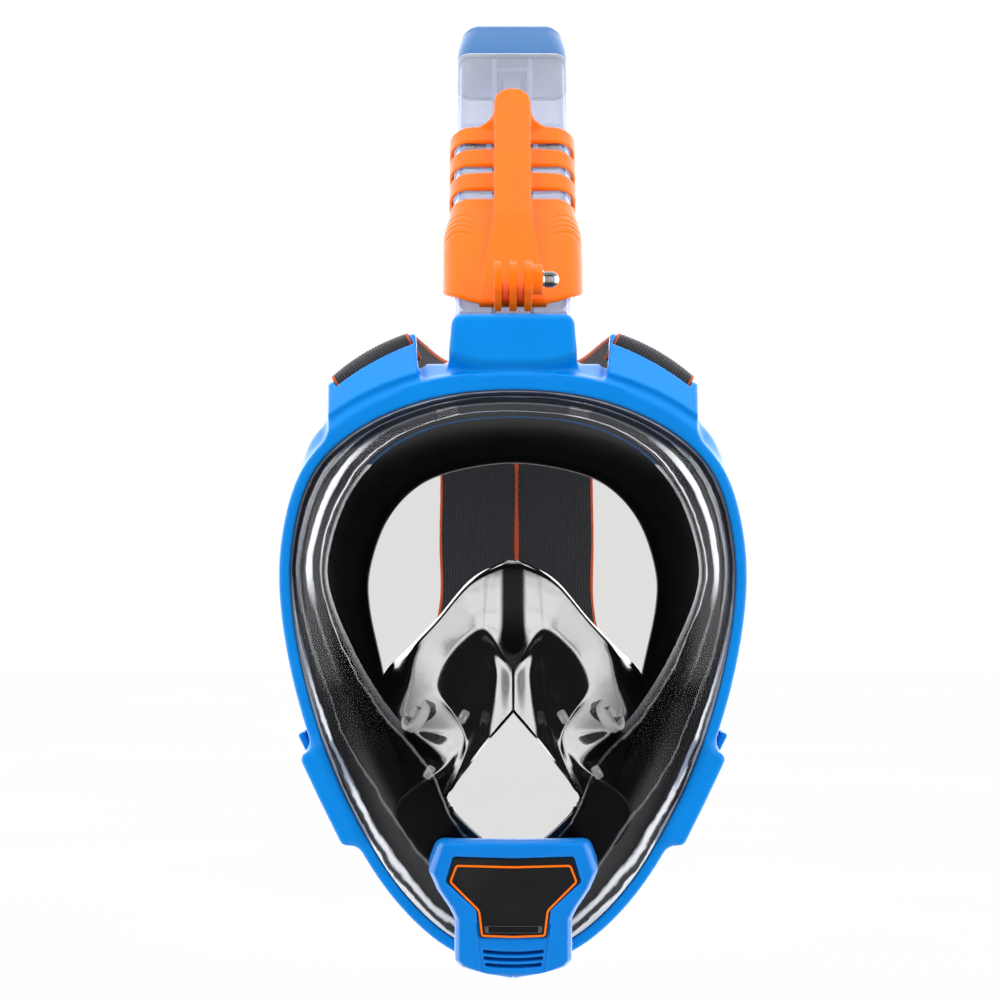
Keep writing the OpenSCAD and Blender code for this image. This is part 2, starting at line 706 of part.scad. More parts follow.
// The buckle's tongue plugs into the wing, its plate stands behind the frame's ring, and its rear
// bar holds the webbing.
module buckle(side) {
    plate_back = buckle_front + 4;
    high = bar_shift + strap_w / 2 + 0.7;
    low = bar_shift - strap_w / 2 - 0.7;
    sides = [[low - 2, low], [high, high + 2.4]];
    color(blue) in_wing(side) {
        box([tongue_x, wing_back_y - 20.6, -tongue_half], [tongue_x + tongue_t, plate_back, tongue_half]);
        box([-4.3, wing_back_y + gap, low - 2], [-1.2, plate_back, high + 2.4]);
        difference() {
            box([-10, buckle_front, low - 2], [-1.2, plate_back, high + 2.4]);
            box([-8.2, buckle_front - 1, wing_half + 0.6], [-4.4, plate_back + 1, high]);
        }
        for (z = sides) box([-10, plate_back - 0.5, z[0]], [-1.2, buckle_bar_y + 1.8, z[1]]);
        box([buckle_bar_x[0], buckle_bar_y - 1.8, low - 1], [buckle_bar_x[1], buckle_bar_y + 1.8, high + 1]);
    }
}

// The buckle's end of the webbing: round the bar, with the loose end folded back outside.
module strap_tail(side) {
    front = buckle_bar_y - 3.8;
    z0 = bar_shift - strap_w / 2;
    z1 = bar_shift + strap_w / 2;
    inner = buckle_bar_x[0] - gap - strap_t;
    outer = buckle_bar_x[1] + gap;
    color(charcoal) in_wing(side) {
        box([inner, front, z0], [inner + strap_t, 8.4, z1]);
        box([inner, front, z0], [outer + strap_t, front + strap_t, z1]);
        box([outer, front, z0], [outer + strap_t, 44, z1]);
    }
}

frame();
skirt_retainer();
lens();
face_skirt();
nose_pocket();
pocket_clips();
inhale_seat(1);  // inhale_seat_left
inhale_seat(-1);  // inhale_seat_right
inhale_flap(1);  // inhale_flap_left
inhale_flap(-1);  // inhale_flap_right
chin_housing();
chin_plate();
chin_trim();
drain_seat();
drain_flap();
snorkel_tube();
tube_divider();
socket_gasket();
exhaust_seat();
exhaust_flap(1);  // exhaust_flap_left
exhaust_flap(-1);  // exhaust_flap_right
float();
float_pad();
inlet_seat();
snorkel_cap();
camera_holder();
camera_nut();
strap(1);  // strap_left
strap(-1);  // strap_right
back_stitching();
buckle(1);  // buckle_left
buckle(-1);  // buckle_right
strap_tail(1);  // strap_tail_left
strap_tail(-1);  // strap_tail_right
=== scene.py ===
import math

import bpy
import numpy as np
import openvdb
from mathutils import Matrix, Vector


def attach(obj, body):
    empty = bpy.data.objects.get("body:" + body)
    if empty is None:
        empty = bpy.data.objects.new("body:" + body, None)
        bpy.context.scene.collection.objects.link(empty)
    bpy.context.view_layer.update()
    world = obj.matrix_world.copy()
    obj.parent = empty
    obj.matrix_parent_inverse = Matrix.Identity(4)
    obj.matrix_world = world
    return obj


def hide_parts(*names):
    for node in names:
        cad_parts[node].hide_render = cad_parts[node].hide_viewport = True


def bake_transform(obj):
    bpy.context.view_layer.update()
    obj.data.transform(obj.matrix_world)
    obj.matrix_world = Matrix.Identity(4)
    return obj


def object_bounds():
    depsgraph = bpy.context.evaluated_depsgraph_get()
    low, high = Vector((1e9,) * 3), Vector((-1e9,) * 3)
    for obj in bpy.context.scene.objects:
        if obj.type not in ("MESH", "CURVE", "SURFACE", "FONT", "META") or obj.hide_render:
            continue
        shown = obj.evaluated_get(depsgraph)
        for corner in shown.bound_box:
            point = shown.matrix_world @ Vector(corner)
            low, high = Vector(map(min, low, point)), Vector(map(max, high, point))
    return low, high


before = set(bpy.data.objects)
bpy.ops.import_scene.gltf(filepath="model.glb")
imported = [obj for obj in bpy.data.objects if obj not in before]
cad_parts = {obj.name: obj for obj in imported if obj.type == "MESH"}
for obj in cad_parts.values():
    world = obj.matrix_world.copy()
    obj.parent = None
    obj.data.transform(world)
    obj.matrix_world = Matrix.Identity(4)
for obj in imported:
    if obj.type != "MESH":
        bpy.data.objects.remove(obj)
cad_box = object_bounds()

# Lengths are in millimetres until a mesh is made, and angles in degrees, unless a name says so.
MM = 0.001

# ---- Driving sizes, as the CAD has them ----
OPENING_HALF_W = 89
OPENING_TOP = 84
OPENING_DROP = 141
RIM_Y = -46
TEMPLE_SWEEP = 10
FRAME_DEPTH = 26
RIM_W = 4.6
RIM_INSET = 2.4
FACE_HALF_W = 74
FACE_TOP = 74
FACE_DROP = 100
LENS_FRONT_Y = -80
LENS_TILT = 0.06
LENS_T = 2.2
LIP_HALF_W = 59
LIP_TOP = 55
LIP_DROP = 115
FLANGE_Y = RIM_Y + 4.2
FLANGE_T = 2.8
BEAD_Y = FLANGE_Y + FLANGE_T + 0.3
BEAD_T = 8.2
LEAN = 40
SOCKET = np.array([0, -22, 107])
TUBE_W, TUBE_D, TUBE_T, TUBE_LEN = 48.4, 28, 1.8, 152
TUBE_R = 6
SPIGOT_W, SPIGOT_D, SPIGOT_LEN = 43, 23, 15
CAP_H = 21
BOLT = (-29, 3.2)
PRONG_T, PRONG_R, BOLT_R = 3, 7.5, 2.65
CHIN_FRONT_Y, CHIN_TOP, CHIN_TILT = -86, -92, 10
ARM_AT, ARM_TILT, ARM_BACK_Y = np.array([57, 0, 96.8]), 30, -18
WING_AT, WING_TILT = np.array([76.7, 0, -80.8]), 25.8
WING_HALF, WING_BACK_Y = 20.5, -17
TONGUE_X, TONGUE_T, TONGUE_HALF = -4.7, 2.6, 13
STRAP_W, STRAP_T = 35, 1.6
BACK_Y = 155
BUCKLE_FRONT, BUCKLE_BAR_Y, BAR_SHIFT = -11.8, 1, 7

# ---- Points and loops ----


def catmull(a, b, c, d, t):
    return 0.5 * (2 * b + (c - a) * t + (2 * a - 5 * b + 4 * c - d) * t * t
                  + (3 * b - a - 3 * c + d) * t ** 3)


def smooth_loop(half, samples=8):
    """A closed loop through a half outline, top middle first, and its mirror image."""
    half = np.array(half, float)
    other = half[-2:0:-1] * np.array([-1] + [1] * (half.shape[1] - 1))
    c = np.vstack([half, other])
    t = (np.arange(samples) / samples)[None, :, None]
    rows = catmull(np.roll(c, 1, 0)[:, None], c[:, None], np.roll(c, -1, 0)[:, None],
                   np.roll(c, -2, 0)[:, None], t)
    return rows.reshape(-1, half.shape[1])


def smooth_path(points, samples):
    """An open smooth path through points."""
    p = np.array(points, float)
    a, b, c, d = p[[0, *range(len(p) - 2)]], p[:-1], p[1:], p[[*range(2, len(p)), -1]]
    t = (np.arange(samples) / samples)[None, :, None]
    rows = catmull(a[:, None], b[:, None], c[:, None], d[:, None], t).reshape(-1, p.shape[1])
    return np.vstack([rows, p[-1:]])


def unit(v):
    """Vectors of length one, along the last axis."""
    return v / np.linalg.norm(v, axis=-1)[..., None]


def offset_loop(loop, distance):
    """A closed loop moved outwards, or inwards where the distance is below zero."""
    step = unit(np.roll(loop[:, :2], -1, 0) - np.roll(loop[:, :2], 1, 0))
    moved = loop.copy()
    moved[:, 0] -= distance * step[:, 1]
    moved[:, 1] += distance * step[:, 0]
    return moved


def lerp(a, b, t):
    return a + (b - a) * t


def smooth_step(low, high, x):
    t = np.clip((x - low) / (high - low), 0, 1)
    return t * t * (3 - 2 * t)


def sweep(x):
    return TEMPLE_SWEEP * (x / (OPENING_HALF_W + RIM_W)) ** 2


def swept(loop, y):
    return np.column_stack([loop[:, 0], y + sweep(loop[:, 0]), loop[:, 1]])


def lens_plane(loop, back=0.0):
    return np.column_stack([loop[:, 0], LENS_FRONT_Y - LENS_TILT * loop[:, 1] + back, loop[:, 1]])


def scaled(points, w, up, down):
    """Half outline points given as shares of a width, and of a height above or below the origin."""
    return [(x * w, z * (up if z > 0 else down)) for x, z in points]


def rounded_rect(w, d, r, per_corner=10):
    """A rounded rectangle's loop in its own plane, centred."""
    loop = []
    for corner, (sx, sy) in enumerate([(1, 1), (-1, 1), (-1, -1), (1, -1)]):
        for a in np.linspace(0, 90, per_corner):
            turn = math.radians(a + 90 * corner)
            loop.append((sx * (w / 2 - r) + r * math.cos(turn), sy * (d / 2 - r) + r * math.sin(turn)))
    return np.array(loop)


opening = smooth_loop(scaled([(0, 1), (0.38, 0.955), (0.7, 0.812), (0.904, 0.6), (0.993, 0.29),
                              (0.996, -0.03), (0.917, -0.284), (0.769, -0.539), (0.535, -0.794),
                              (0.27, -0.954), (0, -1)], OPENING_HALF_W, OPENING_TOP, OPENING_DROP))
face = smooth_loop(scaled([(0, 1), (0.38, 0.96), (0.68, 0.82), (0.885, 0.58), (0.995, 0.27),
                           (0.985, 0.03), (0.84, -0.23), (0.66, -0.44), (0.44, -0.615),
                           (0.28, -0.86), (0, -1)], FACE_HALF_W, FACE_TOP, FACE_DROP))
lip = smooth_loop(scaled([(0, 1), (0.42, 0.935), (0.68, 0.81), (0.875, 0.57), (0.99, 0.22),
                          (0.995, -0.035), (0.905, -0.255), (0.81, -0.49), (0.64, -0.73),
                          (0.34, -0.94), (0, -1)], LIP_HALF_W, LIP_TOP, LIP_DROP))

# ---- Local frames ----


def turn(degrees):
    return math.cos(math.radians(degrees)), math.sin(math.radians(degrees))


def to_snorkel(x, y, z):
    c, s = turn(LEAN)
    dy, dz = y - SOCKET[1], z - SOCKET[2]
    return x, dy * c - dz * s, dy * s + dz * c


def from_snorkel(p):
    c, s = turn(LEAN)
    p = np.asarray(p, float)
    return np.column_stack([p[:, 0], SOCKET[1] + p[:, 1] * c + p[:, 2] * s,
                            SOCKET[2] - p[:, 1] * s + p[:, 2] * c])


def from_chin(p):
    c, s = turn(CHIN_TILT)
    dy, dz = p[:, 1] - CHIN_FRONT_Y, p[:, 2] - CHIN_TOP
    return np.column_stack([p[:, 0], CHIN_FRONT_Y + dy * c - dz * s, CHIN_TOP + dy * s + dz * c])


def to_side(x, z, at, tilt):
    """World x and z in the frame of an arm or wing on the wearer's left: along x, and across z."""
    c, s = turn(tilt)
    return (x - at[0]) * c - (z - at[2]) * s, (x - at[0]) * s + (z - at[2]) * c


def from_side(p, at, tilt):
    c, s = turn(tilt)
    p = np.asarray(p, float)
    return np.column_stack([at[0] + p[:, 0] * c + p[:, 2] * s, p[:, 1], at[2] - p[:, 0] * s + p[:, 2] * c])


def flipped(p, side):
    return p * np.array([side, 1, 1])


# ---- Distance fields, below zero inside ----


def outline_field(px, pz, loop):
    """Distance to a closed outline, over points of any shape."""
    px, pz = np.broadcast_arrays(np.asarray(px, float), np.asarray(pz, float))
    best = np.full(px.shape, 1e9)
    inside = np.zeros(px.shape, bool)
    for (ax, az), (bx, bz) in zip(loop, np.roll(loop, -1, 0)):
        ex, ez = bx - ax, bz - az
        t = np.clip(((px - ax) * ex + (pz - az) * ez) / max(ex * ex + ez * ez, 1e-12), 0, 1)
        best = np.minimum(best, (px - ax - t * ex) ** 2 + (pz - az - t * ez) ** 2)
        crosses = (az > pz) != (bz > pz)
        inside ^= crosses & (px < ex * (pz - az) / (ez if ez else 1e-12) + ax)
    return np.where(inside, -1, 1) * np.sqrt(best)


def rounded_outline(px, pz, points, r):
    """Distance to a polygon whose corners are rounded to radius r."""
    p = np.array(points, float)
    area = (p[:, 0] * np.roll(p[:, 1], -1) - np.roll(p[:, 0], -1) * p[:, 1]).sum()
    if area < 0:
        p = p[::-1]
    edge = unit(np.roll(p, -1, 0) - p)
    normal = np.column_stack([edge[:, 1], -edge[:, 0]])
    before = np.roll(normal, 1, 0)
    p = p - r * (normal + before) / (1 + (normal * before).sum(1))[:, None]
    return outline_field(px, pz, p) - r


def both(a, b, r):
    """The overlap of two fields, with its edge rounded to radius r."""
    return np.minimum(np.maximum(a, b), -r) + np.hypot(np.maximum(a + r, 0), np.maximum(b + r, 0))


def joined(a, b, r):
    """The union of two fields, with a fillet of radius r."""
    return np.maximum(np.minimum(a, b), r) - np.hypot(np.maximum(r - a, 0), np.maximum(r - b, 0))


def cut(a, b, r=0.3):
    return both(a, -b, r)


def slab(v, low, high):
    return np.abs(v - (low + high) / 2) - (high - low) / 2


def box_field(x, y, z, low, high, r=0.5):
    f = both(slab(x, low[0], high[0]), slab(y, low[1], high[1]), r)
    return both(f, slab(z, low[2], high[2]), r)


def rect_field(x, y, w, d, r):
    qx, qy = np.abs(x) - w / 2 + r, np.abs(y) - d / 2 + r
    return np.hypot(np.maximum(qx, 0), np.maximum(qy, 0)) + np.minimum(np.maximum(qx, qy), 0) - r


def mesh_field(field, low, step):
    """The surface where the field is zero, as points and quads. Low is the grid's first corner."""
    band = 4 * step
    grid = openvdb.FloatGrid(band)
    grid.copyFromArray(np.clip(field, -band, band).astype(np.float32))
    points, quads = grid.convertToQuads(0.0)[:2]
    return points * step + np.array(low), quads.tolist()


def mirrored(half):
    """A field made for x from 0 up, and the same on the other side."""
    return np.concatenate([half[:0:-1], half])


def mesh_symmetric(half, y, z, step):
    return mesh_field(mirrored(half), (-(len(half) - 1) * step, y.flat[0], z.flat[0]), step)


def axes(step, *ranges):
    """The coordinates of a grid's points, each along its own axis."""
    shapes = (-1, 1, 1), (1, -1, 1), (1, 1, -1)
    return [np.arange(*r, step).reshape(shape) for r, shape in zip(ranges, shapes)]


def plan(x, z, points, r):
    """A rounded outline seen along y, over a grid."""
    return rounded_outline(x[:, 0], z[0], points, r)[:, None, :]


# ---- Meshes ----


def piece(name, points, faces, body, material, replaces=(), slot=None, crease=None):
    """A piece of the object from points in millimetres, riding on a body."""
    mesh = bpy.data.meshes.new(name)
    mesh.from_pydata(points * MM, [], faces)
    mesh.validate()
    mesh.shade_smooth()
    if crease:
        mesh.set_sharp_from_angle(angle=math.radians(crease))
    o = bpy.data.objects.new(name, mesh)
    bpy.context.scene.collection.objects.link(o)
    mesh.materials.append(material)
    if body:
        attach(o, body)
    if replaces:
        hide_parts(*replaces)
    return o


def skin(rings, closed):
    """Points and faces of a solid through equal rings. Closed joins the last ring to the first."""
    rings = np.array(rings, float)
    m, n = rings.shape[:2]
    last = m if closed else m - 1
    r, i = np.meshgrid(np.arange(last), np.arange(n), indexing="ij")
    a = r * n + i
    b = r * n + (i + 1) % n
    up = ((r + 1) % m - r) * n
    quads = np.stack([a, b, b + up, a + up], -1).reshape(-1, 4)
    points = rings.reshape(-1, 3)
    faces = quads.tolist()
    if not closed:
        faces += [tuple(range(n - 1, -1, -1)), tuple((m - 1) * n + k for k in range(n))]
    corner = points[quads]
    volume = (corner[:, 0] * np.cross(corner[:, 1], corner[:, 2])).sum()
    volume += (corner[:, 0] * np.cross(corner[:, 2], corner[:, 3])).sum()
    if volume < 0:
        faces = [f[::-1] for f in faces]
    return points, faces


def lofted(name, rings, closed, *about):
    """A piece through equal rings."""
    return piece(name, *skin(rings, closed), *about)


def add_bevel(o, width, segments=2):
    bevel = o.modifiers.new("edge", "BEVEL")
    bevel.width = width * MM
    bevel.segments = segments
    bevel.limit_method = "ANGLE"
    bevel.angle_limit = math.radians(35)
    bevel.harden_normals = True


def store(o, name, values):
    """Keeps one number for each vertex, which a material reads by name."""
    attribute = o.data.attributes.new(name, "FLOAT", "POINT")
    attribute.data.foreach_set("value", np.asarray(values, np.float32).ravel())


# ---- Materials ----


class Nodes:
    """A node tree, with a short way to add and join nodes."""

    def __init__(self, owner):
        owner.use_nodes = True
        self.tree = owner.node_tree
        self.tree.nodes.clear()

    def add(self, kind, settings=None, **inputs):
        """A node. Inputs go by name, or by number as i0, i1 and so on."""
        node = self.tree.nodes.new("ShaderNode" + kind)
        for key, value in (settings or {}).items():
            setattr(node, key, value)
        for key, value in inputs.items():
            socket = node.inputs[int(key[1:])] if key[0] == "i" and key[1:].isdigit() \
                else node.inputs[key.replace("_", " ")]
            self.feed(socket, value)
        return node

    def feed(self, socket, value):
        if isinstance(value, bpy.types.NodeSocket):
            self.tree.links.new(value, socket)
        elif isinstance(value, bpy.types.Node):
            self.tree.links.new(value.outputs[0], socket)
        elif isinstance(value, tuple) and socket.type == "RGBA":
            socket.default_value = (*value, 1)[:4]
        else:
            socket.default_value = value

    def math(self, operation, a, b=0.5, c=0.5):
        return self.add("Math", {"operation": operation}, i0=a, i1=b, i2=c)

    def span(self, value, start, end, low, high, kind="LINEAR"):
        """Takes a value's range from start to end to one from low to high."""
        return self.add("MapRange", {"interpolation_type": kind}, i0=value, i1=start, i2=end, i3=low, i4=high)

    def blend(self, share, a, b):
        return self.add("MixShader", i0=share, i1=a, i2=b)


class Shader(Nodes):
    """A material's nodes."""

    def __init__(self, name):
        self.material = bpy.data.materials.new(name)
        super().__init__(self.material)
        self.output = self.add("OutputMaterial")

    def noise(self, scale, detail=3, roughness=0.5, stretch=(1, 1, 1)):
        where = self.add("TexCoord").outputs["Object"]
        if stretch != (1, 1, 1):
            where = self.add("Mapping", i3=stretch, i0=where)
        return self.add("TexNoise", Vector=where, Scale=scale, Detail=detail, Roughness=roughness).outputs[0]

    def spread(self, value, low, high):
        """Takes a noise value, mostly from 0.3 to 0.7, to a range."""
        return self.span(value, 0.3, 0.7, low, high)

    def mix_colour(self, factor, a, b):
        return self.add("Mix", {"data_type": "RGBA"}, i0=factor, i6=a, i7=b).outputs[2]

    def bump(self, height, strength, distance):
        return self.add("Bump", Height=height, Strength=strength, Distance=distance * MM)

    def gloss(self, ior):
        """The share of light that a smooth surface reflects, the same from both of its sides."""
        least = ((ior - 1) / (ior + 1)) ** 2
        return self.math("MULTIPLY_ADD", self.math("POWER", self.facing(), 5.0), 1 - least, least)

    def facing(self):
        return self.add("LayerWeight", Blend=0.5).outputs["Facing"]

    def attribute(self, name):
        return self.add("Attribute", {"attribute_name": name}).outputs["Fac"]

    def ramp(self, value, stops):
        """Grey levels by position: stops are (place, level)."""
        node = self.add("ValToRGB", i0=value)
        band = node.color_ramp
        while len(band.elements) < len(stops):
            band.elements.new(0.5)
        for element, (place, level) in zip(band.elements, sorted(stops)):
            element.position = place
            element.color = (level, level, level, 1)
        return node.outputs[0]

    def surface(self, node):
        self.feed(self.output.inputs["Surface"], node)
        return self.material


def moulded(name, colour, darker, roughness, grain, ior=1.46, shine=0.5, polish=None):
    """Moulded plastic or rubber: fine grain, slow colour and gloss changes, edges a touch paler with wear,
    and painted shade in its hollows.

    Polish names the mesh's share of full gloss, where it isn't the same all over."""
    s = Shader(name)
    if polish:
        shine = s.math("MULTIPLY_ADD", s.attribute(polish), shine - 0.01, 0.01)
    slow = s.noise(45, 2)
    fine = s.noise(2600, 2, 0.6)
    wear_and_shade = s.add("NewGeometry").outputs["Pointiness"]
    edge = s.span(wear_and_shade, 0.52, 0.62, 0.0, 0.22)
    base = s.mix_colour(s.spread(slow, 0, 1), darker, colour)
    paler = tuple(min(1.0, c * 1.15 + 0.04) for c in colour)
    base = s.mix_colour(edge, base, paler)
    # Painted shade: hollows and creases darken towards half the darker colour. The paler edges above are
    # wear.
    hollow_shade = s.span(wear_and_shade, 0.40, 0.485, 0.5, 0.0)
    base = s.mix_colour(hollow_shade, base, tuple(0.5 * c for c in darker))
    rough = s.math("ADD", s.spread(slow, roughness * 0.88, roughness * 1.1), s.spread(fine, -0.03, 0.03))
    bump = s.bump(fine, grain, 0.06)
    shader = s.add("BsdfPrincipled", Base_Color=base, Roughness=rough, IOR=ior, Normal=bump,
                   Specular_IOR_Level=shine)
    return s.surface(shader)


def clear(name, tint, gloss=0.04, haze=0.0, ior=1.5, scratch=0.02, waves=0.0, depth=5, edge=2.5):
    """Clear plastic: tinted, deeper where it is seen edge on, with faint haze and hairline marks."""
    s = Shader(name)
    marks = s.noise(900, 4, 0.7, (1, 1, 0.05))
    slow = s.noise(30, 2)
    height = s.math("ADD", s.math("MULTIPLY", marks, 0.2), s.math("MULTIPLY", slow, waves))
    bump = s.bump(height, scratch, 0.1)
    deep = tuple(c ** depth for c in tint)
    through = s.add("BsdfTransparent", Color=s.mix_colour(s.math("POWER", s.facing(), edge), tint, deep))
    shine = s.add("BsdfGlossy", Color=(1.0, 1.0, 1.0), Roughness=gloss, Normal=bump)
    fog = s.add("BsdfDiffuse", Color=tuple(min(1.0, c * 1.02) for c in tint))
    body = s.blend(s.spread(slow, haze * 0.7, haze * 1.3), through, fog)
    return s.surface(s.blend(s.gloss(ior), body, shine))


def lens_material():
    """Clear polycarbonate, with painted highlight bands and painted shade bands along its thick wall, where
    the real lens reflects and bends light.
    """
    s = Shader("lens_clear")
    drift = s.noise(34, 3, 0.6)
    fine = s.noise(260, 3, 0.6)
    place = s.math("ADD", s.attribute("wall"), s.spread(drift, -0.035, 0.035))
    place = s.math("ADD", place, s.spread(fine, -0.008, 0.008))
    side, low = s.attribute("side"), s.attribute("low")

    def banded(top, flank, foot):
        level = s.mix_colour(side, s.ramp(place, top), s.ramp(place, flank))
        return s.mix_colour(low, level, s.ramp(place, foot))

    # Painted highlights: pale bands along the wall, placed by the wall attribute.
    painted_glint_share = banded(
        [(0, 0), (0.02, 0), (0.035, 0.55), (0.06, 0), (0.3, 0), (0.35, 0.16), (0.39, 0), (0.6, 0),
         (0.66, 0.2), (0.7, 0), (0.88, 0.03), (0.94, 0.6), (0.97, 0.2), (1, 0.3)],
        [(0, 0), (0.02, 0), (0.035, 0.6), (0.07, 0.05), (0.09, 0), (0.24, 0), (0.28, 0.5), (0.4, 0.62),
         (0.44, 0.02), (0.6, 0), (0.65, 0.22), (0.73, 0.2), (0.77, 0), (0.9, 0), (0.96, 0.2), (1, 0.2)],
        [(0, 0), (0.02, 0), (0.035, 0.12), (0.06, 0), (0.6, 0), (0.62, 0.1), (0.64, 0), (0.82, 0),
         (0.855, 0.5), (0.885, 0.5), (0.91, 0.03), (0.95, 0.03), (0.97, 0.6), (1, 0.45)])
    # Painted shade: dark bands along the wall, placed by the wall attribute.
    painted_shade_share = banded(
        [(0, 0), (0.7, 0.1), (0.8, 0.8), (0.95, 0.5), (1, 0.4)],
        [(0, 0), (0.1, 0.15), (0.7, 0.15), (0.8, 0.8), (0.9, 0.85), (1, 0.5)],
        [(0, 0), (0.5, 0.15), (0.7, 0.6), (0.82, 0.75), (0.86, 0.2), (0.91, 0.85), (0.95, 0.7), (1, 0.3)])
    bump = s.bump(s.noise(700, 4, 0.7), 0.012, 0.1)
    through = s.add("BsdfTransparent", Color=(0.885, 0.88, 0.876))
    painted_shade_black = s.add("BsdfDiffuse", Color=(0.010, 0.010, 0.012))
    shine = s.add("BsdfGlossy", Color=(0.97, 0.97, 1.0), Roughness=0.03, Normal=bump)
    soft = s.add("BsdfDiffuse", Color=(0.74, 0.75, 0.78))
    sharp = s.add("BsdfGlossy", Color=(0.9, 0.92, 0.97), Roughness=0.14, Normal=bump)
    painted_glint = s.blend(0.35, soft, sharp)
    body = s.blend(painted_shade_share, through, painted_shade_black)
    outside = s.span(s.attribute("wall"), -0.05, 0.03, 0.8, 0.035)
    inside = s.span(s.attribute("wall"), -0.2, -0.12, 0.03, 0.8)
    on_wall = s.math("MINIMUM", outside, inside)
    body = s.blend(s.math("MULTIPLY", s.gloss(1.42), on_wall), body, shine)
    return s.surface(s.blend(painted_glint_share, body, painted_glint))


def webbing_material():
    """Knitted elastic: ribs along the strap, stitches across, and an overlocked edge."""
    s = Shader("webbing_knit")
    across = s.attribute("across")
    along = s.attribute("along")
    row = s.math("SINE", s.math("MULTIPLY", along, 2 * math.pi / 0.9))
    rib = s.math("SINE", s.math("MULTIPLY", across, 2 * math.pi / 1.3))
    knit = s.math("ADD", s.math("MULTIPLY", row, 0.45), s.math("MULTIPLY", rib, 0.55))
    fluff = s.noise(1500, 3, 0.7)
    knit = s.math("ADD", knit, s.spread(fluff, -0.5, 0.5))
    base = s.mix_colour(s.spread(s.math("MULTIPLY_ADD", knit, 0.25), 0, 1), (0.010, 0.011, 0.013),
                        (0.040, 0.042, 0.050))
    shader = s.add("BsdfPrincipled", Base_Color=base, Roughness=0.85, Sheen_Weight=0.25,
                   Normal=s.bump(knit, 0.6, 0.2))
    return s.surface(shader)


def thread_material():
    s = Shader("thread_orange")
    along = s.attribute("along")
    wrap = s.math("SINE", s.math("MULTIPLY", along, 2 * math.pi / 0.75))
    fluff = s.noise(1800, 3, 0.7)
    value = s.math("ADD", s.math("MULTIPLY_ADD", wrap, 0.3), s.spread(fluff, -0.25, 0.25))
    base = s.mix_colour(value, (0.5, 0.045, 0.008), (0.95, 0.16, 0.02))
    shader = s.add("BsdfPrincipled", Base_Color=base, Roughness=0.7, Sheen_Weight=0.2,
                   Normal=s.bump(wrap, 0.7, 0.15))
    return s.surface(shader)


def metal_material():
    """Polished metal, with a painted reflection: bright along its front between two dark bands."""
    s = Shader("nut_chrome")
    brushed = s.noise(900, 3, 0.6, (0.05, 1, 1))
    around = s.math("ADD", s.attribute("around"), s.spread(brushed, -0.02, 0.02))
    # Painted reflection: a bright band at the front and dark bands above and below, round the barrel.
    level = s.ramp(around, [(0, 0.5), (0.12, 0.04), (0.3, 0.06), (0.42, 0.95), (0.64, 0.9), (0.72, 0.08),
                            (0.86, 0.05), (1, 0.6)])
    shader = s.add("BsdfPrincipled", Base_Color=level, Metallic=0.6,
                   Roughness=s.spread(brushed, 0.1, 0.22), Normal=s.bump(brushed, 0.1, 0.03))
    return s.surface(shader)


blue = moulded("plastic_blue", (0.0, 0.24, 0.74), (0.0, 0.22, 0.70), 0.36, 0.10, shine=0.2)
cap_blue = moulded("plastic_blue_hazy", (0.046, 0.155, 0.37), (0.041, 0.143, 0.345), 0.4, 0.10, shine=0.2)
orange = moulded("plastic_orange", (0.98, 0.165, 0.0), (0.95, 0.15, 0.0), 0.42, 0.12, shine=0.25)
# Painted shade: the frame's blue plastic made deeper for the chin housing, which sits in less light.
chin_blue_shaded = moulded("plastic_blue_chin_painted_shade", (0.0, 0.195, 0.65), (0.0, 0.178, 0.61), 0.34, 0.10, shine=0.24)
black_plastic = moulded("plastic_black", (0.010, 0.010, 0.011), (0.008, 0.008, 0.009), 0.32, 0.2)
silicone = moulded("silicone_black", (0.005, 0.005, 0.0055), (0.004, 0.004, 0.0045), 0.3, 0.12, 1.42, 0.28)
pocket_gloss = moulded("silicone_gloss", (0.004, 0.004, 0.0045), (0.003, 0.003, 0.0035), 0.085, 0.01, 3.6,
                       polish="polish")
float_foam = moulded("float_foam", (0.62, 0.64, 0.68), (0.52, 0.54, 0.58), 0.6, 0.5)
# Painted light: the cap's underside lies in shade, and is coloured pale as if lit.
cap_underside_painted_light = moulded("plastic_pale_painted_light", (0.74, 0.79, 0.90), (0.68, 0.73, 0.85), 0.5, 0.05)
# Painted sheen: a lighter grey than the black plate, so the plate's slot shows a light rim. Its gloss is
# real.
slot_grey_painted_sheen = moulded("plastic_grey_painted_sheen", (0.075, 0.075, 0.08), (0.06, 0.06, 0.065), 0.22, 0.05)
clip_clear = clear("plastic_clip", (0.95, 0.95, 0.96), 0.1, 0.28, 2.1)
frosted = moulded("plastic_frosted", (0.74, 0.75, 0.77), (0.66, 0.67, 0.70), 0.2, 0.05)
clear_silicone = clear("silicone_clear", (0.86, 0.87, 0.89), 0.15, 0.2)
tube_clear = clear("plastic_tube", (0.885, 0.90, 0.945), 0.06, 0.08, 1.5, 0.05, 2.0, 11, 1.6)
divider_clear = clear("plastic_divider", (0.84, 0.86, 0.93), 0.1, 0.2)
smoke = clear("plastic_smoke", (0.80, 0.83, 0.90), 0.1, 0.15)
lens_clear = lens_material()
webbing = webbing_material()
thread = thread_material()
chrome = metal_material()

# ---- Frame ----


def crown(d):
    """How far the rim's front falls back, by distance out from the opening."""
    return 1.9 * smooth_step(5.2, 9.6, d) - 0.9 * smooth_step(9.6, 11.3, d)


